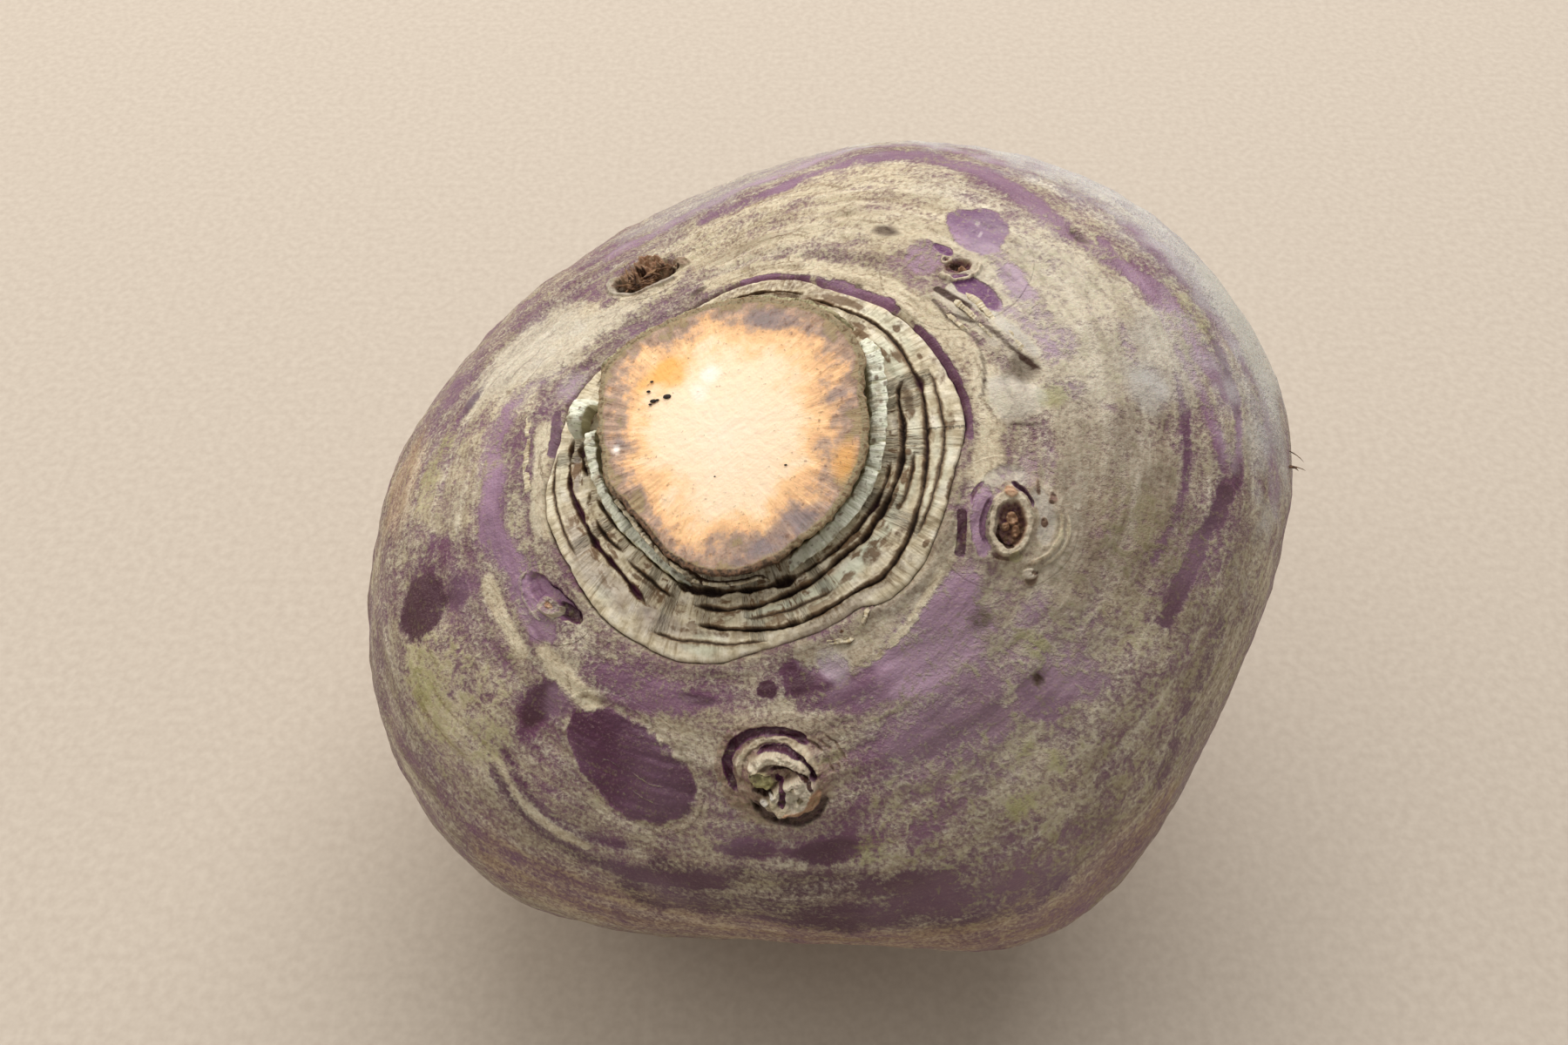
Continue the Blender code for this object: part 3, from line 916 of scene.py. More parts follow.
MARKS: tuple[Patch | Streak, ...] = (
    # Tan, corky ground on the far side, greyer on the right and netted on the lower right
    Patch(80, 46, 24, 8, Tint(tan=0.28, cream=0.8)),
    Patch(22, 45, 13, 7, Tint(tan=0.3, cream=0.6, green=0.22, bloom=0.26)),
    Patch(146, 44, 16, 6, Tint(tan=0.25, cream=0.6)),
    Patch(350, 47, 11, 6.5, Tint(tan=0.22, net=0.3)),
    Patch(312, 58, 22, 11, Tint(tan=-0.1, net=0.9, lilac=0.2)),
    Patch(317, 46, 13, 10, Tint(tan=0.12, net=0.3, lilac=0.2, bloom=0.1)),
    Patch(330, 66, 22, 12, Tint(tan=0.1, net=0.7)),
    Patch(217, 54, 9, 7, Tint(tan=0.12, cream=0.7, net=0.5, green=0.2)),
    Patch(262, 43, 7, 3, Tint(tan=0.25)),
    # Purple and lilac on the near side, right of the collar and below it
    Patch(314, 39, 6.5, 3.8, Tint(tan=-0.5, lilac=0.85, wine=-0.3), 0.3),
    Patch(323, 37, 4, 2, Tint(tan=-0.4, lilac=0.9, wine=-0.4), 0.3),
    Patch(300, 38.6, 5, 2.4, Tint(tan=-0.55, wine=0.15, lilac=0.1), 0.25),
    Patch(290, 37, 4, 2.4, Tint(tan=-0.6, wine=0.35), 0.25),
    Patch(286, 35, 1.8, 1.7, Tint(tan=-0.6, wine=0.4), 0.25),
    Patch(279, 35.6, 1.1, 0.9, Tint(tan=-1, wine=1.4, lilac=-0.5), 0.2),
    Patch(308, 47.6, 4.6, 3.6, Tint(tan=-0.38, wine=0.45, net=0.3)),
    Patch(320, 51, 2.4, 2.2, Tint(tan=-0.8, wine=-0.9), 0.4),
    Patch(325, 51.6, 2.2, 3.4, Tint(tan=-0.35, lilac=0.7, wine=-0.3)),
    Patch(301, 44, 7, 3, Tint(tan=-0.2, wine=0.2)),
    Streak(((291, 33), (293, 33.6), (296, 35), (303, 34.9), (310, 34.2), (318, 33.5), (326, 32.6),
            (334, 32.4)), 1.9, Tint(tan=0.45, lilac=0.5, wine=-0.3, net=0.4), 0.07),
    Streak(((304, 36.7), (310, 36), (318, 35), (326, 34.1)), 0.35, Tint(tan=0.3, cream=1.2), 0.3),
    Patch(295, 35, 1.6, 2, Tint(tan=-0.5, lilac=1.1, bloom=0.35), 0.3),
    # The plum oval and what lies round it
    Patch(250.5, 47.4, 8.3, 5.1, Tint(tan=-0.8, wine=0.7, net=-0.5), 0.07, 21),
    Patch(250.5, 47.4, 9.6, 6.3, Tint(tan=0.15), 0.15, 21),
    Patch(248, 37.6, 6.5, 2.2, Tint(tan=-0.4, lilac=0.25, wine=0.1, net=0.4)),
    Patch(263, 36.8, 2.2, 0.6, BARE_WINE, 0.3),
    Patch(231, 46.4, 1.7, 3.4, BARE_WINE),
    Patch(234, 44, 1.8, 2.6, Tint(tan=-0.3, lilac=0.35, wine=0.5)),
    Streak(((226, 40), (234, 41), (240, 41.5)), 1.1, Tint(tan=0.45, cream=1)),
    Streak(((205, 42), (215, 42), (222, 42.5)), 0.9, Tint(tan=0.4, cream=1)),
    Streak(((230, 54), (237, 57.2), (245, 58.4), (252, 58)), 0.7, Tint(tan=-0.35, wine=0.5)),
    Streak(((229, 55.5), (237, 59), (246, 60)), 0.6, Tint(tan=0.4, cream=0.5)),
    Streak(((230, 57), (239, 60.8), (247, 62), (256, 61.5), (266, 60)), 1.1, Tint(tan=-0.5, wine=0.8), 0.8),
    # Wine bands and lenses on the lower front
    Patch(282, 55.1, 3.8, 1.5, BARE_WINE, 0.3),
    Patch(271, 54.3, 3, 1.3, Tint(tan=-0.45, wine=0.5), 0.3),
    Streak(((258, 59.5), (268, 59), (276, 59), (286, 60), (294, 62)), 1.8, Tint(tan=-0.32, wine=0.8)),
    Streak(((255, 65), (270, 64), (290, 67), (305, 69)), 3, Tint(tan=-0.25, wine=0.9)),
    Streak(((235, 71), (262, 71), (290, 74), (318, 76)), 5, Tint(pale=0.45, wine=0.2)),
    Patch(291, 63, 9, 3.6, Tint(tan=-0.22, wine=0.6)),
    # Round the two buds
    Patch(280, 44, 7.5, 5.5, Tint(tan=0.25)),
    Patch(343, 39, 7, 6.5, Tint(tan=0.25, lilac=0.2)),
    Streak(((331.8, 34.6), (339.6, 32.9)), 0.45, Tint(tan=-1.6, wine=1.2, soil=-1, lilac=-1), 0.1),
    Patch(329, 44.1, 2.4, 0.9, Tint(tan=-0.3, wine=0.1, lilac=0.8)),
    Patch(346, 34.5, 3.4, 1.3, Tint(tan=-0.1, lilac=0.8, net=-0.3)),
    Patch(352, 39.5, 2.6, 3, Tint(tan=-0.15, lilac=0.7, net=-0.2)),
    Patch(0, 37.8, 0.3, 1.7, Tint(soil=0.7), 0.3),
    Patch(103, 34.6, 1.2, 0.7, Tint(soil=0.8)),
    # Maroon and pink on the left
    Patch(202, 52.8, 3.3, 3.6, Tint(tan=-0.9, wine=1.3, lilac=-0.4), 0.3),
    Patch(198, 52.6, 2.6, 2.4, Tint(tan=-0.4, wine=0.3)),
    Patch(203, 46.5, 1.6, 1.6, Tint(tan=-0.35, wine=0.4)),
    Patch(218, 38.2, 4.4, 1.6, BARE_LILAC),
    Streak(((150, 40), (160, 42), (172, 42), (184, 40), (195, 39.6), (207, 37)), 2,
           Tint(tan=-0.42, lilac=0.55, wine=0.1)),
    Patch(194, 39.8, 2, 0.8, Tint(tan=-0.5, wine=0.5)),
    Patch(160, 57.5, 4.5, 3, Tint(tan=-0.2, lilac=0.3, wine=0.3)),
    Patch(148, 48.6, 10, 5, Tint(tan=0.5, cream=1, bloom=0.35, net=-0.2)),
    Patch(183, 46, 6, 7, Tint(tan=0.22, lilac=0.3, cream=0.4)),
    Patch(178, 60, 7, 5, Tint(tan=0.2, pale=0.5)),
    Patch(162, 50.5, 2.6, 0.8, Tint(tan=-0.5, wine=0.9)),
    Patch(153, 33.9, 2.4, 1.9, Tint(tan=-0.1, lilac=0.8, bloom=0.2)),
    Patch(140, 41, 12, 3.4, Tint(tan=0.4, cream=0.8, bloom=0.25, net=-0.3)),
    Streak(((170, 33), (186, 31.2), (202, 31.4)), 0.9, Tint(tan=0.3, cream=0.9)),
    Patch(169, 70, 5, 3, Tint(cream=0.8, tan=0.1)),
    # Lilac haze round the eye at the far right of the crown
    Patch(42, 45.4, 3.8, 2.8, Tint(tan=-1.4, wine=-0.9, net=-0.5), 0.14, 20),
    Patch(41, 45, 0.45, 0.16, Tint(tan=0.8, lilac=1, bloom=0.3), 0.4, 60),
    Patch(43.2, 46.2, 0.4, 0.14, Tint(tan=0.8, lilac=1, bloom=0.3), 0.4, 60),
    Patch(44, 42.6, 3.4, 1.2, Tint(tan=0.35, lilac=0.6), 0.6, 20),
    Streak(((37, 43.6), (31, 43), (26, 42.3)), 1, Tint(tan=-0.5, wine=-0.3, lilac=0.4)),
    Streak(((30, 42.6), (22, 42), (14, 43)), 1.5, Tint(tan=-0.45, lilac=0.9)),
    Streak(((27, 38.3), (20, 40.2), (12, 41.8)), 1.1, Tint(tan=-0.4, lilac=0.8)),
    Patch(6, 42, 1, 2.2, Tint(tan=-0.5, wine=0)),
    # A wandering mauve band round the far side and down the right
    Streak(((100, 54), (88, 53), (76, 55.5), (62, 57), (49, 54.5), (40, 52.8), (34, 51.6), (26, 53.3),
            (18, 56.8), (11, 57.2), (6, 60.7)), 1.3, Tint(tan=-0.45, lilac=0.35, wine=0.2)),
    Streak(((120, 58), (100, 59), (84, 60), (68, 62), (52, 60)), 1.4, Tint(tan=-0.28, lilac=0.6)),
    Streak(((30, 60), (18, 62), (8, 66), (356, 68)), 1.6, Tint(tan=-0.35, lilac=0.3, wine=0.2)),
    Streak(((14, 60), (10, 60.7), (5, 61), (359.5, 60.9), (355, 60.7)), 0.5,
           Tint(tan=-0.62, wine=0.55), 0.5),
    Streak(((354, 59.4), (349, 58), (345, 57.2), (341, 56.7), (337, 57)), 0.9,
           Tint(tan=-0.66, wine=0.85), 0.5),
    Streak(((8, 54), (0, 54.4), (354, 54.6), (349, 53.9), (343, 52.7)), 0.5,
           Tint(tan=-0.45, wine=0.4), 0.5),
    Streak(((30, 54.6), (23, 54.4), (17, 54.5), (11, 55.2), (4, 57), (358, 58.5)), 0.6,
           Tint(tan=-0.4, lilac=0.4), 0.5),
    Patch(11, 54, 4.5, 4, Tint(tan=0.3, bloom=0.35, lilac=0.4)),
    Patch(12, 49.5, 2.2, 1, Tint(tan=-0.35, lilac=0.6), 0.5),
    Patch(6, 50.5, 2.4, 2, Tint(bloom=0.5, green=0.15, tan=0.2)),
    Patch(1, 60.6, 2.2, 2.2, Tint(lilac=0.7, tan=0.2)),
    Patch(16, 59, 4, 2, Tint(green=0.5, tan=0.2)),
    Streak(((340, 64), (330, 66), (322, 70)), 1.4, Tint(tan=-0.3, wine=0.6)),
    # Skin bared beside the outermost leaf scar, purple on the far side
    Patch(57, 30.9, 2.2, 0.9, Tint(tan=-1.6, wine=-0.4, soil=-1), 0.2, 10),
    Patch(53, 31, 1, 0.9, Tint(soil=0.9), 0.3),
    Patch(34, 31, 1.3, 0.8, Tint(tan=1.5, cream=0.6, soil=0.2), 0.4),
    Patch(66, 30.9, 0.9, 0.7, Tint(tan=1.5, cream=0.6, soil=0.3), 0.4),
    Streak(((358, 32.1), (7, 32), (17, 31.5), (27, 31), (38, 30.8)), 0.3,
           Tint(tan=-1.4, wine=0.4, soil=-1), 0.4),
    Streak(((40, 30.8), (53, 30.6), (61, 30.8), (69, 31.1), (78, 31.8), (88, 32.4)), 0.5,
           Tint(tan=-1.4, wine=-0.2, soil=-1), 0.5),
    Streak(((350, 34), (10, 34.6), (24, 33.4), (40, 32.2), (56, 32.6), (75, 34), (100, 35)), 1.4,
           Tint(tan=0.4, cream=1)),
    # A bared slot at the left end of the collar, and the pale ridge below it
    Streak(((163.5, 32.8), (167, 31.9), (172, 31.2), (176, 31)), 0.6,
           Tint(tan=-1.8, wine=1.2, soil=-1.6), 0.12),
    Streak(((168, 34), (178, 32.6), (190, 32.3), (200, 32.6)), 0.9, Tint(tan=0.5, bloom=0.1, cream=0.6)),
    # Brown hollows and small scars
    Patch(11, 38.6, 1.6, 1.7, Tint(soil=0.55)),
    Patch(56, 40.5, 1.6, 0.8, Tint(soil=0.8)),
    Patch(32, 52.8, 1.5, 0.8, Tint(soil=0.6, cream=0.8)),
    Patch(321.4, 49.3, 0.6, 0.6, Tint(soil=0.6, wine=0.8), 0.3),
    Patch(323, 40.5, 1.3, 1.2, Tint(soil=0.5, cream=0.6)),
    Streak(((36, 35.9), (32, 36.2), (28, 36.7)), 0.45, Tint(soil=0.9), 0.3),
    Streak(((28.5, 34.7), (22, 37), (16, 38.2), (11, 39.9)), 0.28, Tint(soil=0.75), 0.3),
    Streak(((34, 34.5), (27, 34.2), (20, 35.5), (13, 35), (7, 34)), 0.2, Tint(soil=0.7), 0.3),
    Streak(((34, 37.1), (28, 37.6), (22, 38.4), (14, 40.2)), 0.6, Tint(tan=0.8, cream=1.4, bloom=0.4), 0.3),
    Streak(((35, 35.2), (27, 35.6), (18, 36.9)), 0.4, Tint(tan=0.6, cream=1.2, bloom=0.3), 0.3),
    Patch(5, 37.2, 2.6, 2.4, Tint(tan=0.5, cream=0.8, bloom=0.45, green=0.15), 0.2),
    Patch(90, 41, 9, 1.4, Tint(soil=0.28, cream=0.6)),
    Patch(60, 44, 8, 1.4, Tint(soil=0.22, cream=0.6)),
    # Green flushes
    Patch(172, 51, 2.2, 1.4, Tint(green=0.9, cream=0.6)),
    Patch(180, 52, 4, 2.4, MOSS),
    Patch(211, 56, 3.4, 3, MOSS),
    Patch(217, 58, 4, 3.4, MOSS),
    Patch(227, 54, 3, 3, Tint(green=0.6)),
    Patch(5, 40.6, 1.2, 1.6, Tint(green=1.3, tan=0.4)),
    Patch(308, 58, 1.4, 1.1, Tint(green=1)),
    Patch(315, 56.6, 0.8, 1.5, Tint(green=1.1)),
    Patch(313, 53.6, 1, 0.9, Tint(green=0.9)),
    Patch(288, 56.2, 2.2, 1.6, Tint(green=0.7)),
    Patch(325, 46.4, 1, 1.8, Tint(green=1)),
    Patch(346, 50, 4, 3, Tint(green=0.45, soil=0.1)),
    Patch(349, 48, 9, 8, Tint(soil=0.24)),
    Patch(318, 43, 9, 7, Tint(soil=0.12)),
    Patch(17, 69, 9, 5, Tint(green=0.8, tan=0.3, cream=0.5)),
    # Grey wax bloom on the far right, with a painted sheen where the back light grazes the skin
    Patch(34, 69, 32, 9, Tint(bloom=0.85, lilac=-0.2)),
    Patch(95, 66, 22, 8, Tint(bloom=0.35)),
)


@dataclass(frozen=True)
class Swelling:
    """A low rise or hollow of the rind: its middle, its half sizes and its height in mm."""

    azimuth: float
    polar: float
    half_round: float
    half_down: float
    height: float


SWELLINGS = (
    # The right side is drawn in a little below its widest line
    Swelling(331, 83, 30, 21, -2.8),
    Swelling(116, 46, 5.4, 3.2, -1.5),
    Swelling(321.4, 49.3, 0.8, 0.8, -0.35),
    Swelling(32, 52.8, 1.5, 0.9, -0.5),
    Swelling(10, 38.7, 1.9, 1.5, -0.7),
    Swelling(202, 49.5, 5, 2, -0.5),
    Swelling(335.7, 33.8, 1.6, 0.5, -0.4),
    Swelling(5, 37.2, 3, 2.4, 0.35),
)

# The collar's outer edge, where the leaf scars part from the shoulder: azimuths and radii in mm
COLLAR_EDGE = (
    (0, 24.6), (7, 24.5), (12, 24.3), (17, 24), (22, 23.8), (27, 23.6), (32, 23.5), (37, 23.3),
    (45, 23.2), (54, 23), (62, 23.2), (70, 24.1), (80, 24.5), (90, 24.8), (100, 24.4), (110, 24),
    (120, 24), (135, 24.4), (150, 24.6), (160, 24.6), (166, 23.8), (172, 23.3), (182, 23.5),
    (190, 24.1), (198, 24.1), (206, 23.9), (215, 23.6), (222, 24), (230, 24.5), (240, 24.9),
    (246, 25), (252, 25.3), (257, 25.4), (262, 25.1), (268, 24.9), (275, 24.1), (280, 23.8),
    (290, 23.6), (295, 23.75), (302, 23.6), (306, 23.5), (309, 23.9), (311, 24.4), (315, 24.9),
    (320, 25), (326, 24.8), (330, 24.5), (335, 24.3), (340, 24), (350, 23.8), (355, 24.1))


def unevenness(crown: Array) -> Array:
    """Slow rises and dips of the whole crown, in mm, at places in mm."""
    return 0.55 * grain(crown, 16, 3) + 0.16 * grain(crown, 2.6, 3, 3)


@dataclass
class SkinPlaces:
    """Where each vertex of the rind lies on the smooth form."""

    azimuth: Array
    radius: Array
    height: Array
    # Distance along the skin from the collar's edge, in mm, positive down the root
    arc: Array
    rows: Array

    def __post_init__(self) -> None:
        """Work out the coordinates that patterns are laid on."""
        self.crown = crown_points(self.azimuth, self.radius, self.height) / MM
        self.rings = crown_points(self.azimuth, 40, self.arc)
        self.polar = np.degrees(np.arctan2(self.rows[:, 0], self.rows[:, 1]))[::-1]

    def offset(self, sideways: Array, polar: Any, turn: float) -> tuple[Array, Array]:
        """Measure along the skin from a place, or from a line, to each vertex.

        Args:
            sideways: Degrees round the crown from the place.
            polar: The place's polar angle, or the line's at each vertex.
            turn: How far the directions of measuring are turned, in degrees.

        Returns:
            The mm round the crown, and the mm down the root.
        """
        away = np.radians(sideways) * self.radius / MM
        below = self.arc - np.interp(polar, self.polar, self.rows[::-1, 2])
        cosine, sine = math.cos(math.radians(turn)), math.sin(math.radians(turn))
        return away * cosine + below * sine, below * cosine - away * sine

    def share(self, mark: Patch | Streak | Swelling) -> Array:
        """How far each vertex lies from a mark's middle or line, in shares of its half sizes.

        Args:
            mark: What is laid on the skin.

        Returns:
            The distances, 1 at its edge.
        """
        if isinstance(mark, Streak):
            polar, past = follow(mark.points, self.azimuth)
            sideways, half_round = np.maximum(past, 0), mark.half_down
        else:
            sideways, half_round = round_gap(self.azimuth, mark.azimuth), mark.half_round
            polar = mark.polar
        away, below = self.offset(sideways, polar, getattr(mark, "turn", 0))
        return np.hypot(away / half_round, below / mark.half_down)


@dataclass(frozen=True)
class Arc:
    """A crescent of a bud: part of an oval ridge or groove, or all of its inside where width is 0.

    Places and sizes are in mm in the bud's own frame. Angles run from its first direction towards
    its second, and so does turn, which turns the whole oval. shade is the tint that it turns the
    rind to, if it has one.
    """

    middle: tuple[float, float]
    half: tuple[float, float]
    rise: float
    shade: Tint | None = None
    width: float = 0.0
    start: float = -200.0
    end: float = 200.0
    turn: float = 0.0

    def weight(self, local: Array) -> Array:
        """How fully each local place lies in the crescent, from 0 to 1.

        Args:
            local: Places in the bud's frame, in mm.

        Returns:
            The weights.
        """
        cosine, sine = math.cos(math.radians(self.turn)), math.sin(math.radians(self.turn))
        spin = np.array(((cosine, -sine), (sine, cosine)))
        x, y = ((local - self.middle) @ spin / self.half).T
        far = np.hypot(x, y)
        if not self.width:
            return smooth_step(1.16, 0.84, far)
        past = np.abs(round_gap(np.degrees(np.arctan2(y, x)), 0.5 * (self.start + self.end)))
        body = smooth_step(0, -16, past - 0.5 * (self.end - self.start))
        off = np.abs(far - 1) * 0.5 * sum(self.half) / self.width
        return body * smooth_step(0.62, 0.36, off / (0.3 + 0.7 * body))


PLUM = Tint(tan=-1, wine=1.1)
WINE = Tint(tan=-1, wine=0.7)
VIOLET = Tint(tan=-0.9, wine=-0.5)
LILAC = Tint(tan=0.1, lilac=0.75, bloom=0.1)
CREAM = Tint(tan=1.6, cream=1.3, bloom=0.15)
OLIVE = Tint(tan=1.6, cream=0.7, green=0.1)
ORANGE = Tint(tan=1.6, pale=1.2, soil=0.1)
DARK = Tint(tan=0.5, soil=1.1, wine=0.6)
DUSK = Tint(tan=0.8, soil=0.6, pale=0.5)
ROT = Tint(tan=0.5, pale=1, soil=0.42, wine=0.6)
GREEN = Tint(tan=1, green=1.5)
WHITE = Tint(tan=1.6, cream=1.3, bloom=0.8)
PIT = Tint(tan=1.2, cream=0.3, bloom=0.4, green=0.15)


@dataclass(frozen=True)
class BudGround:
    """A patch of rind round a bud or an eye, fine enough for its crescents.

    It carries the same relief and fields as the rind, whose own skin dips under it.
    """

    name: str
    azimuth: float
    polar: float
    half: tuple[float, float]
    turn: float
    arcs: tuple[Arc, ...]
    steps: int = 210
    rings: int = 110
    # The share of the net that lies on the skin, with the rest turned under it
    face: float = 0.86

    def local(self, skin: SkinPlaces) -> Array:
        """Places in the bud's own frame, in mm, as two columns."""
        sideways = round_gap(skin.azimuth, self.azimuth)
        return np.column_stack(skin.offset(sideways, self.polar, self.turn))

    def reach(self, skin: SkinPlaces) -> Array:
        """How far each place lies from the bud, in shares of the patch's half sizes."""
        return np.hypot(*(self.local(skin) / self.half).T)

    def weights(self, skin: SkinPlaces) -> list[tuple[Arc, Array]]:
        """Each crescent, with how fully each place lies in it once its outline wanders a little.

        Args:
            skin: Where the vertices lie.

        Returns:
            The crescents and their weights.
        """
        wander = np.column_stack([grain(skin.crown, 1.3, 3, seed) for seed in (91, 93)])
        local = self.local(skin) + 0.16 * wander
        return [(arc, arc.weight(local)) for arc in self.arcs]

    def lay(self, rows: Array) -> tuple[Net, SkinPlaces, Array]:
        """Lay a net on the smooth form.

        Args:
            rows: The rind's rows of radius, height and arc.

        Returns:
            The net, its places on the skin, and its share of the way out, past 1 underneath.
        """
        net = Net.make(self.name, self.steps, self.rings)
        out = net.down_share / self.face
        far = np.where(out <= 1, out, np.maximum(1 - (out - 1) / (1 / self.face - 1), 0))
        angle, turn = net.round_share * math.tau, math.radians(self.turn)
        x, y = far * self.half[0] * np.cos(angle), far * self.half[1] * np.sin(angle)
        away, below = x * math.cos(turn) - y * math.sin(turn), x * math.sin(turn) + y * math.cos(turn)
        radius, height, arcs = rows[::-1].T
        down = np.degrees(np.arctan2(radius, height))
        arc = below + np.interp(self.polar, down, arcs)
        radii = np.interp(arc, arcs, radius)
        azimuth = self.azimuth + np.degrees(away * MM / radii)
        return net, SkinPlaces(azimuth, radii, np.interp(arc, arcs, height), arc, rows), out


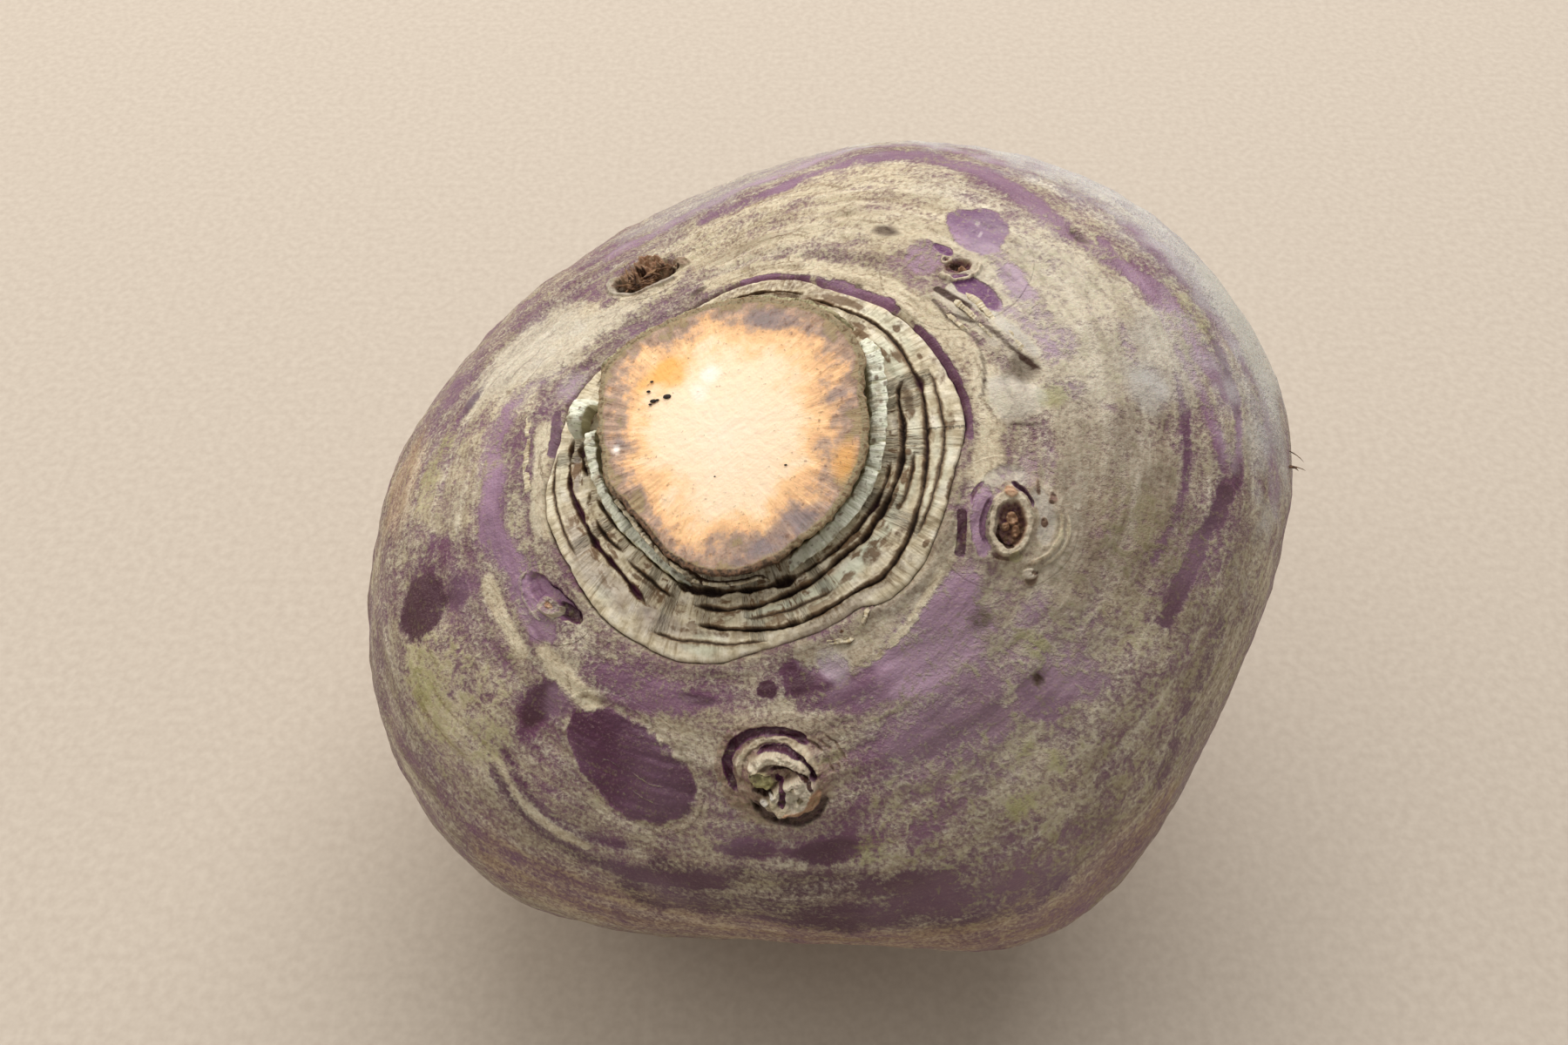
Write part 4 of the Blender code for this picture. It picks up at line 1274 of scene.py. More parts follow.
BUD_GROUNDS = (
    BudGround("right_bud", 340.5, 37.8, (7.4, 6.8), -18, (
        Arc((0, 0.5), (4.6, 4.6), 0.7),
        Arc((0.3, 0.2), (4.6, 3.1), -0.1, Tint(tan=0.8, lilac=0.6, bloom=0.25), 1.4, 290, 400),
        Arc((0.3, 0), (3.9, 2.9), -0.15, LILAC, 1.3, 205, 330),
        Arc((0.1, 0), (3.3, 2.35), -0.35, Tint(tan=-0.8, wine=0.6, lilac=0.3), 0.6, 225, 320),
        Arc((0.3, 0), (4.7, 3.7), -0.2, WINE, 0.35, 285, 330),
        Arc((0.5, 0.3), (3.4, 3), -0.2, PIT, 1.6, 30, 135),
        Arc((0.3, 3), (0.5, 0.35), -0.1, DUSK),
        Arc((2.6, 3.9), (0.5, 0.45), -0.1, DUSK),
        Arc((3.6, 2.6), (0.8, 0.2), -0.1, DUSK),
        Arc((0, 0.3), (4.2, 4.3), 0.28, OLIVE, 0.45, 65, 165),
        Arc((0, 0.3), (4.9, 5), 0.2, OLIVE, 0.35, 70, 150),
        Arc((0, -0.1), (2.65, 1.7), 1, CREAM, 0.85),
        Arc((0, -0.1), (2.9, 1.95), -0.2, Tint(tan=0.9, soil=0.4, lilac=0.4), 0.3, 200, 330),
        Arc((3, 0.05), (0.6, 0.6), 0.3, ORANGE),
        Arc((0.2, 0.1), (3.7, 2.1), -0.4, PLUM, 0.4, 2, 70),
        Arc((-0.1, 0), (3.4, 2.3), -0.3, DUSK, 0.4, 160, 218),
        Arc((-3.2, 0.8), (0.6, 0.6), 0.1, Tint(tan=1, green=0.7)),
        Arc((-0.1, 0.1), (2.1, 1.25), -0.4, ROT),
        Arc((-0.4, 0), (1.8, 1.1), -0.25, DARK, 0.35, 150, 290),
        Arc((0.5, 0.1), (0.6, 0.5), 0.4, Tint(tan=1.2, pale=1, soil=0.25)),
        Arc((-0.7, 0.4), (0.6, 0.4), 0.35, Tint(tan=1.2, pale=1, soil=0.3)),
        Arc((-0.2, -0.5), (0.4, 0.3), 0.3, Tint(tan=1.2, pale=1, soil=0.3)),
        Arc((-5.3, 2.5), (0.7, 0.6), 0.2, DUSK),
        Arc((-4.8, 2.2), (0.5, 0.65), 0.8, Tint(tan=1.6, cream=1.3, bloom=0.4, green=0.1)),
        Arc((-4.6, 2.6), (0.25, 0.3), -0.4, DUSK),
    )),
    BudGround("front_bud", 279, 45.8, (8.4, 7.8), 11, (
        Arc((0.15, 0.3), (4.4, 3.9), 1.3),
        Arc((-2, 0), (7, 5.6), 0, Tint(tan=0.75, soil=0.28, pale=0.3)),
        Arc((0, 0.4), (5.3, 5.2), -0.1, DUSK, 0.3, 290, 355),
        Arc((0, 0.4), (6.1, 5.8), -0.1, DUSK, 0.3, 296, 352),
        Arc((0, 0.4), (6.9, 6.4), -0.08, DUSK, 0.25, 302, 348),
        Arc((4.6, -2.4), (1.6, 0.7), 0, Tint(tan=0.9, green=0.6)),
        Arc((-1.05, -0.4), (5.2, 4.7), -0.4, PLUM, 0.95, 140, 318),
        Arc((-0.65, -0.3), (4.3, 3.9), 0.3, OLIVE, 0.6, 165, 355),
        Arc((-0.5, -0.15), (3.7, 3.25), -0.55, PLUM, 0.65, 225, 365),
        # Painted shadow: a soft dark crescent below the bud, where its knob shades the skin
        Arc((0, 0.55), (4, 4), -0.35, Tint(tan=0.5, soil=0.75, wine=0.6), 1.6, 5, 155),
        Arc((-0.5, 0), (3.1, 2.7), 0.8, CREAM, 1.15, 190, 350),
        Arc((1, 1.2), (2.6, 1.75), 1.7, Tint(tan=1.6, cream=1, bloom=0.3, green=0.1), turn=-35),
        Arc((-0.6, 2.55), (1.6, 0.8), 0.4, OLIVE),
        Arc((0.65, 1), (2.7, 2.1), 0.15, ORANGE, 0.9, -20, 110),
        Arc((0, 0.9), (3.15, 2.7), -0.45, Tint(tan=-0.2, soil=0.8, wine=1), 0.32, 240, 358),
        Arc((-2.25, -0.15), (1.3, 1), 0.7, GREEN),
        Arc((-2.2, -0.4), (1.1, 0.5), -0.25, Tint(soil=0.7, green=0.8, tan=1), 0.2, 150, 330),
        Arc((-2.1, 1.15), (1.2, 0.5), -0.5, Tint(tan=0.6, soil=0.9, green=0.5)),
        Arc((-2.45, 0.85), (2.6, 2.45), -0.45, Tint(tan=-0.5, soil=0.1, wine=0.7), 0.75, -52, 38),
        Arc((1.1, 0.1), (0.35, 0.25), -0.1, Tint(tan=1.2, green=0.4, soil=0.3)),
        Arc((1.9, 1.2), (0.3, 0.35), -0.1, Tint(tan=1.2, green=0.4, soil=0.3)),
        Arc((-1.15, 1.3), (0.45, 0.2), 0.5, WHITE),
        Arc((-2, 2.15), (0.5, 0.32), 0.8, WHITE),
    )),
    BudGround("left_eye", 219.5, 35.8, (6.4, 4.4), -13, (
        Arc((-0.7, -0.6), (5, 2.4), 0.25, Tint(tan=0.6, lilac=0.8, bloom=0.1), 0.5, 70, 190),
        Arc((-0.4, -0.9), (4.3, 1.35), -0.7, Tint(tan=-0.6, wine=0.3, lilac=0.45)),
        Arc((-0.2, -0.9), (3.9, 1.25), -0.3, PLUM, 0.4, 235, 365),
        Arc((2.5, -0.8), (1.9, 0.8), -0.45, Tint(tan=-1.6, wine=1.3)),
        Arc((0, -0.1), (1.5, 1.05), 1.1, Tint(tan=0.6, lilac=0.5, soil=0.15)),
        Arc((0, -0.1), (1.55, 1.1), 0.1, Tint(tan=1.2, lilac=0.3, cream=0.9), 0.35, -50, 150),
        Arc((0.1, -0.2), (0.6, 0.35), -0.2, Tint(tan=1, pale=1, soil=0.3)),
    )),
    BudGround("far_eye", 38, 39.8, (8.2, 9), 130, (
        Arc((-3.2, -2), (1.6, 2.8), 0.05, Tint(tan=0.42, lilac=0.9, wine=-0.5, net=0.8)),
        Arc((-1.2, -2.6), (1.2, 0.45), -0.1, VIOLET, turn=50),
        Arc((1.9, 3.7), (3.2, 1.15), -0.25, VIOLET, turn=43),
        Arc((-1, -1.15), (0.45, 0.45), 0.1, Tint(tan=1.2, lilac=0.6, cream=0.8), 0.2),
        Arc((-1, -1.15), (0.2, 0.2), -0.2, ROT),
        Arc((0.2, 0.5), (1.9, 1.6), 0.5, CREAM, 0.4, -30, 175),
        Arc((0, 0), (1.25, 0.85), -0.5, ROT),
        Arc((-0.1, -0.2), (0.7, 0.45), -0.5, DARK),
        Arc((0.4, 0.35), (0.4, 0.3), 0.3, Tint(tan=1.2, pale=1, soil=0.3)),
    )),
    BudGround("withered_shoot", 114, 46, (9, 6.6), 204, (
        Arc((-0.8, 0.4), (6.6, 3.6), 0.3, Tint(tan=1, bloom=0.15, lilac=0.3), 1, 30, 210),
        Arc((-1.5, 0), (5.3, 2.9), -0.9, Tint(tan=0.9, pale=0.9, soil=0.42)),
        Arc((4, -0.5), (2, 1.2), 0.6, Tint(tan=1.2, soil=0.22, pale=0.4)),
        Arc((3.3, 0.4), (1.4, 0.35), -0.4, DARK),
        Arc((-1, -1.8), (2.4, 1.3), 1.7, Tint(tan=1, pale=1, soil=0.3)),
        Arc((-3.9, 0.2), (1.6, 0.9), 1.5, Tint(tan=1, pale=1, soil=0.35)),
        Arc((-1.6, 0.8), (1.3, 1.1), 1.4, Tint(tan=1, pale=1, soil=0.28)),
        Arc((1.6, -0.6), (1.2, 1.1), 1.2, Tint(tan=1, pale=0.8, soil=0.35)),
        Arc((-4.6, 2), (1.5, 0.9), -0.9, DARK),
        Arc((0.6, 1.3), (1.1, 1.1), -0.9, DARK),
        Arc((-2.6, -0.9), (1, 0.5), -0.8, DARK),
        Arc((2.4, 1.6), (0.9, 0.5), -0.5, DUSK),
        Arc((-6.2, 0.6), (0.8, 1.2), 0.2, DUSK),
    )),
    BudGround("plum_oval", 250.5, 47.4, (11, 8), 21, (
        Arc((0, 0), (8.1, 4.9), 0.22),
        Arc((0, 0), (9, 5.8), -0.12, None, 0.9),
        Arc((1.6, -1.6), (3.4, 1.6), 0.04, Tint(tan=0.75, wine=0.4, lilac=0.4), 0.22, 20, 110),
        Arc((2.6, 0.2), (3.6, 1.7), 0.04, Tint(tan=0.75, wine=0.4, lilac=0.4), 0.22, 30, 105),
        Arc((-1.2, 1.4), (1.6, 0.9), 0, Tint(tan=0.4, wine=0.6), 0.2, 180, 300),
    )),
)


@dataclass
class Rind:
    """The whole skin of the root, closed under the neck and pressed flat where it rests."""

    round_steps: int = 460
    collar_radius: float = 25.2
    collar_depth: float = 1.3
    # How far the skin dips under a bud's patch, and how far the patch stands over it, in mm
    dip: float = 1.7
    proud: float = 0.07
    # A mark with this tan or less lies a little lower, and a crescent with more soil than this is rough
    bare_tan: float = -0.55
    rough_soil: float = 0.2
    # Distances along the skin below the collar's edge, each with the step between rows there, in mm
    spacing: Pairs = (
        (-26, 3), (-6, 1.5), (-3, 0.26), (0.4, 0.26), (4, 0.36), (14, 0.38), (30, 0.6), (62, 1),
        (90, 1.4), (140, 2.4))
    finish: RindFinish = field(default_factory=RindFinish)

    def rows(self) -> Array:
        """Rows of the skin from the tail to the pole under the neck, close-set near the collar.

        Returns:
            Radius and height in metres, and mm along the skin from the collar's edge.
        """
        curve = np.vstack(([0, FORM.tail_tip], FORM.profile(), [0, FORM.outline[-1][1]]))
        arc = np.concatenate(([0], np.cumsum(np.linalg.norm(np.diff(curve, axis=0), axis=1))))
        crown = slice(len(curve) * 3 // 4, None)
        collar = float(np.interp(-self.collar_radius * MM, -curve[crown, 0], arc[crown]))
        from_collar, step = np.array(self.spacing, float).T * MM
        stops = [0]
        while stops[-1] < arc[-1]:
            stops.append(stops[-1] + float(np.interp(collar - stops[-1], from_collar, step)))
        spots = np.array(stops) * (arc[-1] / stops[-1])
        radius, height = (np.interp(spots, arc, column) for column in curve.T)
        return np.column_stack((radius, height, (collar - spots) / MM))

    def lip_arc(self, azimuth: Array) -> Array:
        """Where the collar's lip lies at each azimuth, in mm along the skin from its mean edge."""
        return np.interp(azimuth, *np.array(COLLAR_EDGE, float).T, period=360) - self.collar_radius

    def relief(self, skin: SkinPlaces) -> Array:
        """How far each vertex stands out of the smooth form, in mm.

        Args:
            skin: Where the vertices lie.

        Returns:
            The relief.
        """
        streaks = skin.rings * (0.12, 0.12, 1)
        near_crown = smooth_step(34, 4, np.abs(skin.arc))
        height = unevenness(skin.crown)
        # Wrinkles run round the crown, fine next to the collar
        height += (0.1 + 0.2 * near_crown) * grain(streaks, 2.2, 3, 7)
        # Low on the root, creases 4 mm apart circle it
        low = smooth_step(34, 62, skin.arc)
        height += 0.22 * low * grain(streaks, 4.5, 2, 11)
        for swelling in SWELLINGS:
            height += swelling.height * smooth_step(1.25, 0.1, skin.share(swelling))
        # Bared skin lies a little lower than the cork round it
        for mark in MARKS:
            if mark.tint.tan <= self.bare_tan:
                height -= 0.1 * smooth_step(1.2, 0.7, skin.share(mark))
        # The collar's floor lies under the leaf scars, inside a broken lip
        ragged = skin.arc + 0.15 * grain(skin.rings * (0.3, 0.3, 0), 1.2, 2, 5)
        lip = self.lip_arc(skin.azimuth)
        height -= self.collar_depth * smooth_step(lip + 0.2, lip - 0.3, ragged)
        height += 0.18 * np.exp(-((ragged - lip - 0.7) / 0.5) ** 2)
        return height

    def paint(self, mesh: Mesh, skin: SkinPlaces, ground: BudGround | None = None) -> None:
        """Give a mesh the fields that the finish reads.

        Args:
            mesh: The rind, or a bud's patch of it.
            skin: Where its vertices lie.
            ground: The bud, if it is a bud's patch.
        """
        names = [part.name for part in fields(Tint)]
        tints = {name: np.zeros(len(skin.azimuth)) for name in names}
        ragged = 0.26 * grain(skin.crown, 5, 3, 21) + 0.2 * grain(skin.crown, 1.6, 3, 23)
        low = smooth_step(34, 70, skin.arc)
        bands = grain(skin.rings * (0.12, 0.12, 1), 7, 3, 27)
        tints["tan"] += 0.57 + 0.2 * bands + 0.3 * low + 0.22 * grain(skin.crown, 3.2, 2, 39)
        tints["wine"] += 0.3 + 0.3 * grain(skin.crown, 18, 2, 31)
        tints["lilac"] += 0.15 + 0.3 * grain(skin.crown, 12, 2, 33)
        tints["net"] += 0.3 + 0.5 * grain(skin.crown, 16, 2, 35)
        tints["cream"] += 0.2 + 0.5 * grain(skin.crown, 7, 3, 37)
        tints["pale"] += smooth_step(46, 80, skin.arc + 6 * ragged)
        for mark in MARKS:
            frayed = ragged * min(1, 0.3 + 1.8 * mark.edge)
            share = smooth_step(1 + mark.edge, 1 - mark.edge, skin.share(mark) + frayed)
            for name, values in tints.items():
                values += getattr(mark.tint, name) * share
        # Brown dead tissue on the collar's floor
        tints["soil"] += 1.2 * smooth_step(0.25, -0.25, skin.arc - self.lip_arc(skin.azimuth))
        for arc, weight in ground.weights(skin) if ground else ():
            if arc.shade:
                for name, values in tints.items():
                    values += (getattr(arc.shade, name) - values) * weight
        add_field(mesh, "crown", skin.crown)
        add_field(mesh, "rings", skin.rings)
        for name, parts in (("pigment", names[:3]), ("cover", names[3:6]), ("ground", names[6:])):
            add_field(mesh, name, np.column_stack([np.clip(tints[part], -0.7, 1.4) for part in parts]))

    def build(self) -> Object:
        """Model the skin, mark it, and dress it.

        Returns:
            The new piece.
        """
        rows = self.rows()
        net = Net.make("rind", self.round_steps, len(rows) - 1)
        row = np.rint(net.down_share * (len(rows) - 1)).astype(int)
        skin = SkinPlaces(net.round_share * 360, *rows[row].T, rows)
        mesh = net.settle(FORM.lift(skin.crown * MM))
        relief = self.relief(skin)
        for ground in BUD_GROUNDS:
            relief -= self.dip * smooth_step(0.88, 0.78, ground.reach(skin))
        push_out(mesh, MM * relief)
        places = places_of(mesh)
        places[:, 2] = np.maximum(places[:, 2], 0)
        set_places(mesh, places)
        self.paint(mesh, skin)
        material = self.finish.build()
        piece = show(mesh, material)
        for ground in BUD_GROUNDS:
            self.dress(ground, rows, material)
        return piece

    def dress(self, ground: BudGround, rows: Array, material: Material) -> None:
        """Model a bud's patch of rind with its crescents.

        Args:
            ground: The bud.
            rows: The rind's rows.
            material: The rind's finish.
        """
        net, skin, out = ground.lay(rows)
        relief = self.relief(skin) + self.proud
        rough = grain(skin.crown, 0.9, 3, 95)
        for arc, weight in ground.weights(skin):
            relief += weight * (arc.rise + 0.06 * rough * min(abs(arc.rise), 1))
            if arc.shade and arc.shade.soil > self.rough_soil:
                relief += 0.35 * weight * rough
        relief -= 1.6 * smooth_step(0.9, 1, out) + 0.8 * smooth_step(1, 1.05, out)
        seat = Seat.at(ground.azimuth, ground.polar)
        places = FORM.lift(skin.crown * MM) + np.outer(MM * relief, seat.out)
        mesh = net.settle(places)
        self.paint(mesh, skin, ground)
        show(mesh, material)


# ---- the neck


@dataclass
class Neck:
    """The stump of the leafy neck: a low polygonal post, cut across with a knife."""

    # Azimuth of each corner of the rim and its radius in mm
    rim: Pairs = (
        (11, 16.2), (28, 18), (49, 18.6), (67, 18.4), (90, 18.9), (112, 19.3), (130, 20.2),
        (146, 20), (160, 17.4), (183, 15.1), (199, 15.2), (213, 14), (231, 14), (251, 15.7),
        (268, 16.6), (286, 16.5), (304, 15.9), (321, 16.2), (338, 16.3), (350, 16.4))
    rim_height: float = 46.2
    centre_height: float = 46.6
    steps: int = 480
    side_rows: int = 26
    face_rows: int = 46
    # Shares of the rim's radius and heights in mm, from under the rind to the rim
    side: Pairs = (
        (0.93, 38.6), (0.93, 40.5), (0.92, 42), (0.93, 43.6), (0.965, 44.9), (0.995, 45.6),
        (1, 45.95), (0.992, 46.15), (0.985, 46.2))
    # Azimuth, radius, half width, half depth and strength of each spot of a kind
    orange: tuple[tuple[float, ...], ...] = (
        (126, 11.4, 2.6, 2, 1), (135, 13, 3.2, 1.3, 0.8), (343, 14.4, 2.2, 1.4, 0.8))
    white: tuple[tuple[float, ...], ...] = (
        (103, 8.6, 1.4, 1.2, 1), (118, 6.6, 1.1, 1.6, 0.7), (183, 13.3, 0.7, 0.5, 1.2))
    bruised: tuple[tuple[float, ...], ...] = (
        (302, 13.8, 5.6, 1.6, 1.1), (71, 15.4, 3.6, 1.4, 0.8), (178, 13.9, 1.2, 3, 0.6),
        (12, 14.8, 1.4, 3.4, 0.6), (262, 13.4, 2.2, 1.2, 0.5), (50, 15.8, 2.6, 1, 0.6))
    finish: CutFinish = field(default_factory=CutFinish)

    def marks(self, place: Array) -> Array:
        """Strengths of the orange, white and bruised marks at each place on the cut.

        Args:
            place: Places in mm, flat on the cut.

        Returns:
            Three columns.
        """
        wander = 0.35 * grain(place * (1, 1, 0), 3, 3, 41)
        strengths = np.zeros((len(place), 3))
        for kind, spots in enumerate((self.orange, self.white, self.bruised)):
            for azimuth, radius, wide, deep, strength in spots:
                outward = FORM.direction(azimuth, 90)
                offset = place - radius * outward
                sideways = offset @ FORM.direction(azimuth + 90, 90) / wide
                far = np.hypot(offset @ outward / deep, sideways)
                strengths[:, kind] += strength * smooth_step(1.4, 0.4, far + wander)
        return np.clip(strengths, 0, 1.2)

    def build(self) -> Object:
        """Model the post and its cut face, and dress it.

        Returns:
            The new piece.
        """
        rings = self.side_rows + self.face_rows
        net = Net.make("neck_stub", self.steps, rings)
        row = net.down_share * rings
        share, level = np.array(self.side).T
        up = np.clip((row - 1) / (self.side_rows - 1), 0, 1)
        inward = np.clip((row - self.side_rows) / self.face_rows, 0, 1)
        azimuth = net.round_share * 360
        circle = crown_points(azimuth, 1)
        rim = np.mean([np.interp(azimuth + slip, *np.array(self.rim, float).T, period=360)
                       for slip in (-2.5, 0, 2.5)], axis=0)
        rim += 0.14 * grain(circle * 17, 4, 3, 51) + 0.12 * grain(circle * 17, 0.9, 2, 53)
        radius = rim * through(share, up) * (1 - inward) * (row > 0.5)
        height = through(level, up)
        height += (self.centre_height - self.rim_height) * smooth_step(0, 0.9, inward)
        crown = crown_points(azimuth, radius, height)
        spoke = circle * 14 + np.outer(radius, (0, 0, 0.12))
        # Dried fibres pucker the outer third of the cut, and bark folds run up the side
        on_face = smooth_step(0, 0.05, inward)
        edge = smooth_step(0.45, 0.02, inward)
        height += on_face * edge * (0.16 * grain(spoke, 0.7, 2, 55) + 0.22 * grain(crown, 2.4, 3, 57))
        height += on_face * 0.05 * grain(crown, 0.9, 2, 59)
        folds = circle * 17 + np.outer(height, (0, 0, 0.35))
        radius = np.maximum(radius + (1 - on_face) * (row > 0.5) * 0.22 * grain(folds, 1.1, 3, 61), 0)
        mesh = net.settle(FORM.lift(crown_points(azimuth, radius, height) * MM))
        add_field(mesh, "crown", crown)
        add_field(mesh, "spoke", spoke)
        add_field(mesh, "rim", np.clip(radius / rim, 0, 1) + 0.35 * (1 - on_face))
        # Brown rot on the front of the post, whose darkness also paints the shade away from the light
        add_field(mesh, "rot", smooth_step(62, 35, np.abs(round_gap(azimuth, 250))))
        add_field(mesh, "marks", self.marks(crown * (1, 1, 0)) * on_face[:, None])
        return show(mesh, self.finish.build())


@dataclass
class CutSpecks:
    """Black specks of mould on the cut face."""

    # Azimuth, radius and half width in mm
    spots: tuple[tuple[float, float, float], ...] = (
        (145, 11.9, 0.22), (149, 10.5, 0.34), (147, 10.1, 0.2), (141, 9.3, 0.42), (152, 10.6, 0.18),
        (139, 12.5, 0.2), (176, 2.2, 0.12), (330, 8.6, 0.14), (262, 5.1, 0.1))
    cut_height: float = 46.55

    def build(self, material: Material) -> Object:
        """Model the specks, half sunk in the cut.

        Args:
            material: Their finish.

        Returns:
            The new piece.
        """
        form = bmesh.new()
        for azimuth, radius, half in self.spots:
            ball = bmesh.ops.create_icosphere(form, subdivisions=2, radius=half)["verts"]
            bmesh.ops.scale(form, vec=(1.3, 0.8, 0.5), verts=ball)
            place = FORM.direction(azimuth, 90) * radius + (0, 0, self.cut_height)
            bmesh.ops.translate(form, vec=Vector(place), verts=ball)
        mesh = mesh_of(form, "cut_specks")
        set_places(mesh, FORM.lift(places_of(mesh) * MM))
        return show(mesh, material)


# ---- the collar


@dataclass(frozen=True)
class Split:
    """A line where one leaf scar parts from the next: its path, and its sizes in mm.

    The path is azimuths in degrees and radii in mm. step is how much higher the crown stands inside
    the line, and stain turns the split from brown, 0, to maroon, 1.
    """

    path: Pairs
    width: float = 0.3
    step: float = 0.35
    depth: float = 0.6
    stain: float = 0.0


@dataclass(frozen=True)
class Stain:
    """A soft patch of colour on the collar: azimuth, radius, and half sizes in degrees and mm."""

    azimuth: float
    radius: float
    half_round: float
    half_out: float
    mint: float = 0.0
    lilac: float = 0.0
    brown: float = 0.0


SPLITS = (
    Split(((197, 17.5), (207, 16.8), (214, 16.3), (222, 16.1), (230, 15.95), (238, 16.1), (246, 16.5),
           (252, 16.9)), 0.35, 0, 0.8),
    # The wide split under the front of the neck is dark with rotted bark and with painted shadow under the
    # neck
    Split(((248, 16.8), (256, 17.2), (266, 17.3), (276, 17.25), (288, 17.4), (299, 17.5)), 1.1, -0.3, 1.2),
    Split(((296, 17.5), (307, 17.5), (315, 17.6), (322, 17.7), (330, 18), (341, 18.2), (350, 18.1)),
          0.3, 0, 0.7),
    Split(((329, 18), (334, 18.2), (338, 18.2)), 0.6, 0, 0.3, 0.8),
    Split(((193, 18.1), (197, 18.4), (200, 18.9)), 0.3, 0.1, 0.5),
    Split(((205, 18.3), (211, 18.15), (218, 17.9), (225, 17.4)), 0.35, 0.3),
    Split(((226, 17.8), (232, 18), (240, 18.1), (246, 18.5), (251, 18.7)), 0.22, 0.2),
    Split(((257, 18.8), (263, 19.1), (270, 19.3), (280, 19.2), (290, 19), (300, 18.9), (307, 18.7),
           (313, 18.5), (318, 18.8), (325, 19), (335, 19), (350, 19.1), (1, 19), (8, 18.9),
           (13, 19.2), (16, 19.9), (18, 20.4)), 0.38, 0.45, 0.8),
    Split(((259, 21), (266, 21.2), (270, 21.3), (275, 21.5), (280, 21.7), (286, 22), (294, 22.2)),
          0.42, 0.45, 0.8),
    Split(((290, 22.2), (300, 22), (310, 22.2), (317, 22.9), (322, 22.8), (328, 22.5), (335, 22),
           (342, 21.6), (350, 21.4), (356, 21.2), (3, 21.2), (12, 21.35), (20, 21.3), (30, 21.2),
           (37, 21.2), (44, 21.1), (50, 20.9), (57, 20.9), (64, 21.2)), 0.24, 0.4, 0.5),
    Split(((351, 21.35), (356, 21.2), (359, 21.15)), 0.4, 0, 0.3, 1),
    Split(((6, 21.25), (10, 21.3), (15, 21.4), (19, 21.35)), 0.75, 0, 0.3, 0.9),
    Split(((66, 21.8), (72, 21.9), (79, 21.95), (87, 22.3), (100, 22.4), (120, 22.6), (150, 22.9)),
          0.42, 0.4, 0.7, 0.3),
    Split(((171, 21.3), (178, 20.9), (185, 20.7), (192, 20.5), (200, 19.9), (207, 19.6), (214, 19.5),
           (222, 19.35), (229, 19.35), (234, 19.8), (238, 20.2), (243, 20.8)), 0.68, 0.5, 1, 0.9),
    Split(((172, 19.6), (180, 19), (188, 18.4)), 1.5, 0, 1.2, 0.5),
    Split(((176, 22.9), (188, 22.9), (200, 22.5), (214, 22.2)), 0.12, 0, 0.15),
    Split(((246, 23.2), (262, 22.9), (282, 22.9)), 0.12, 0, 0.15),
    Split(((330, 22.9), (345, 22.6), (2, 22.7), (18, 22.6)), 0.12, 0, 0.12),
    Split(((275, 20.3), (290, 20.6), (306, 20.7)), 0.12, 0, 0.12),
    Split(((334, 20.4), (344, 20.3), (354, 20.1)), 0.2, 0.1, 0.3),
    Split(((110, 20.9), (130, 21.6), (150, 21.4)), 0.3, 0.3, 0.5),
)

STAINS = (
    Stain(222, 21.4, 26, 1.5, lilac=0.6),
    Stain(250, 22.4, 12, 1.5, lilac=0.5, brown=0.1),
    Stain(185, 22.4, 10, 1.4, mint=0.3),
    Stain(228, 22.4, 4, 0.9, mint=0.5),
    Stain(263, 23, 5, 1.4, mint=0.8),
    Stain(300, 20.1, 26, 1, mint=0.9),
    Stain(345, 20.1, 20, 0.8, mint=0.6),
    Stain(285, 20.4, 3, 0.5, brown=0.7),
    Stain(319, 20.8, 3.4, 0.8, brown=0.7),
    Stain(265, 20.2, 6, 0.9, brown=0.5),
    Stain(248, 19.6, 9, 1, brown=0.55),
    Stain(275, 18.3, 22, 0.7, brown=0.45),
    Stain(322, 17.9, 10, 0.7, brown=0.45),
    Stain(213, 17.3, 11, 0.9, brown=0.35),
    Stain(305, 22.9, 17, 0.9, lilac=0.5, brown=0.4),
    Stain(323, 23.6, 6, 0.8, brown=0.35),
    Stain(348, 22.6, 16, 0.9, mint=0.5),
    Stain(336, 20.2, 1.3, 0.35, brown=1.2),
    Stain(347, 20.3, 2.2, 0.25, brown=1.2),
    Stain(353, 19.6, 1.4, 0.4, brown=1),
    Stain(345, 24, 6, 0.5, brown=0.7),
    Stain(10, 19.9, 6, 0.6, brown=0.75),
    Stain(2, 23.3, 3, 0.5, brown=0.7),
    Stain(24, 20, 8, 0.8, mint=0.7),
    Stain(42, 20.1, 4, 0.4, brown=0.9),
    Stain(22, 22.4, 1.4, 0.3, brown=1),
    Stain(33, 22.3, 1.2, 0.3, brown=1),
    Stain(60, 20.9, 5, 0.5, brown=0.8),
    Stain(35, 22, 14, 0.9, mint=0.5),
    Stain(85, 22.6, 48, 2.2, brown=0.55),
    Stain(205, 18.6, 12, 0.5, brown=0.6),
    Stain(236, 18.7, 6, 0.35, brown=0.9),
    Stain(226, 20.2, 14, 0.4, brown=0.35),
    Stain(262, 21.9, 12, 0.35, brown=0.55),
    Stain(288, 21.6, 8, 0.3, brown=0.6),
    Stain(302, 20.4, 1.4, 0.5, brown=0.7),
    Stain(328, 21.6, 6, 0.5, brown=0.6),
    Stain(338, 19.4, 5, 0.25, brown=0.9),
    Stain(0, 18.5, 12, 0.4, brown=0.4),
    Stain(330, 24, 1.2, 0.3, brown=0.9),
    Stain(15, 23.4, 5, 0.5, brown=0.45),
    Stain(52, 22, 7, 0.4, brown=0.6),
    Stain(70, 21, 4, 0.5, brown=0.7),
    Stain(185, 19.8, 9, 0.6, lilac=0.9),
)


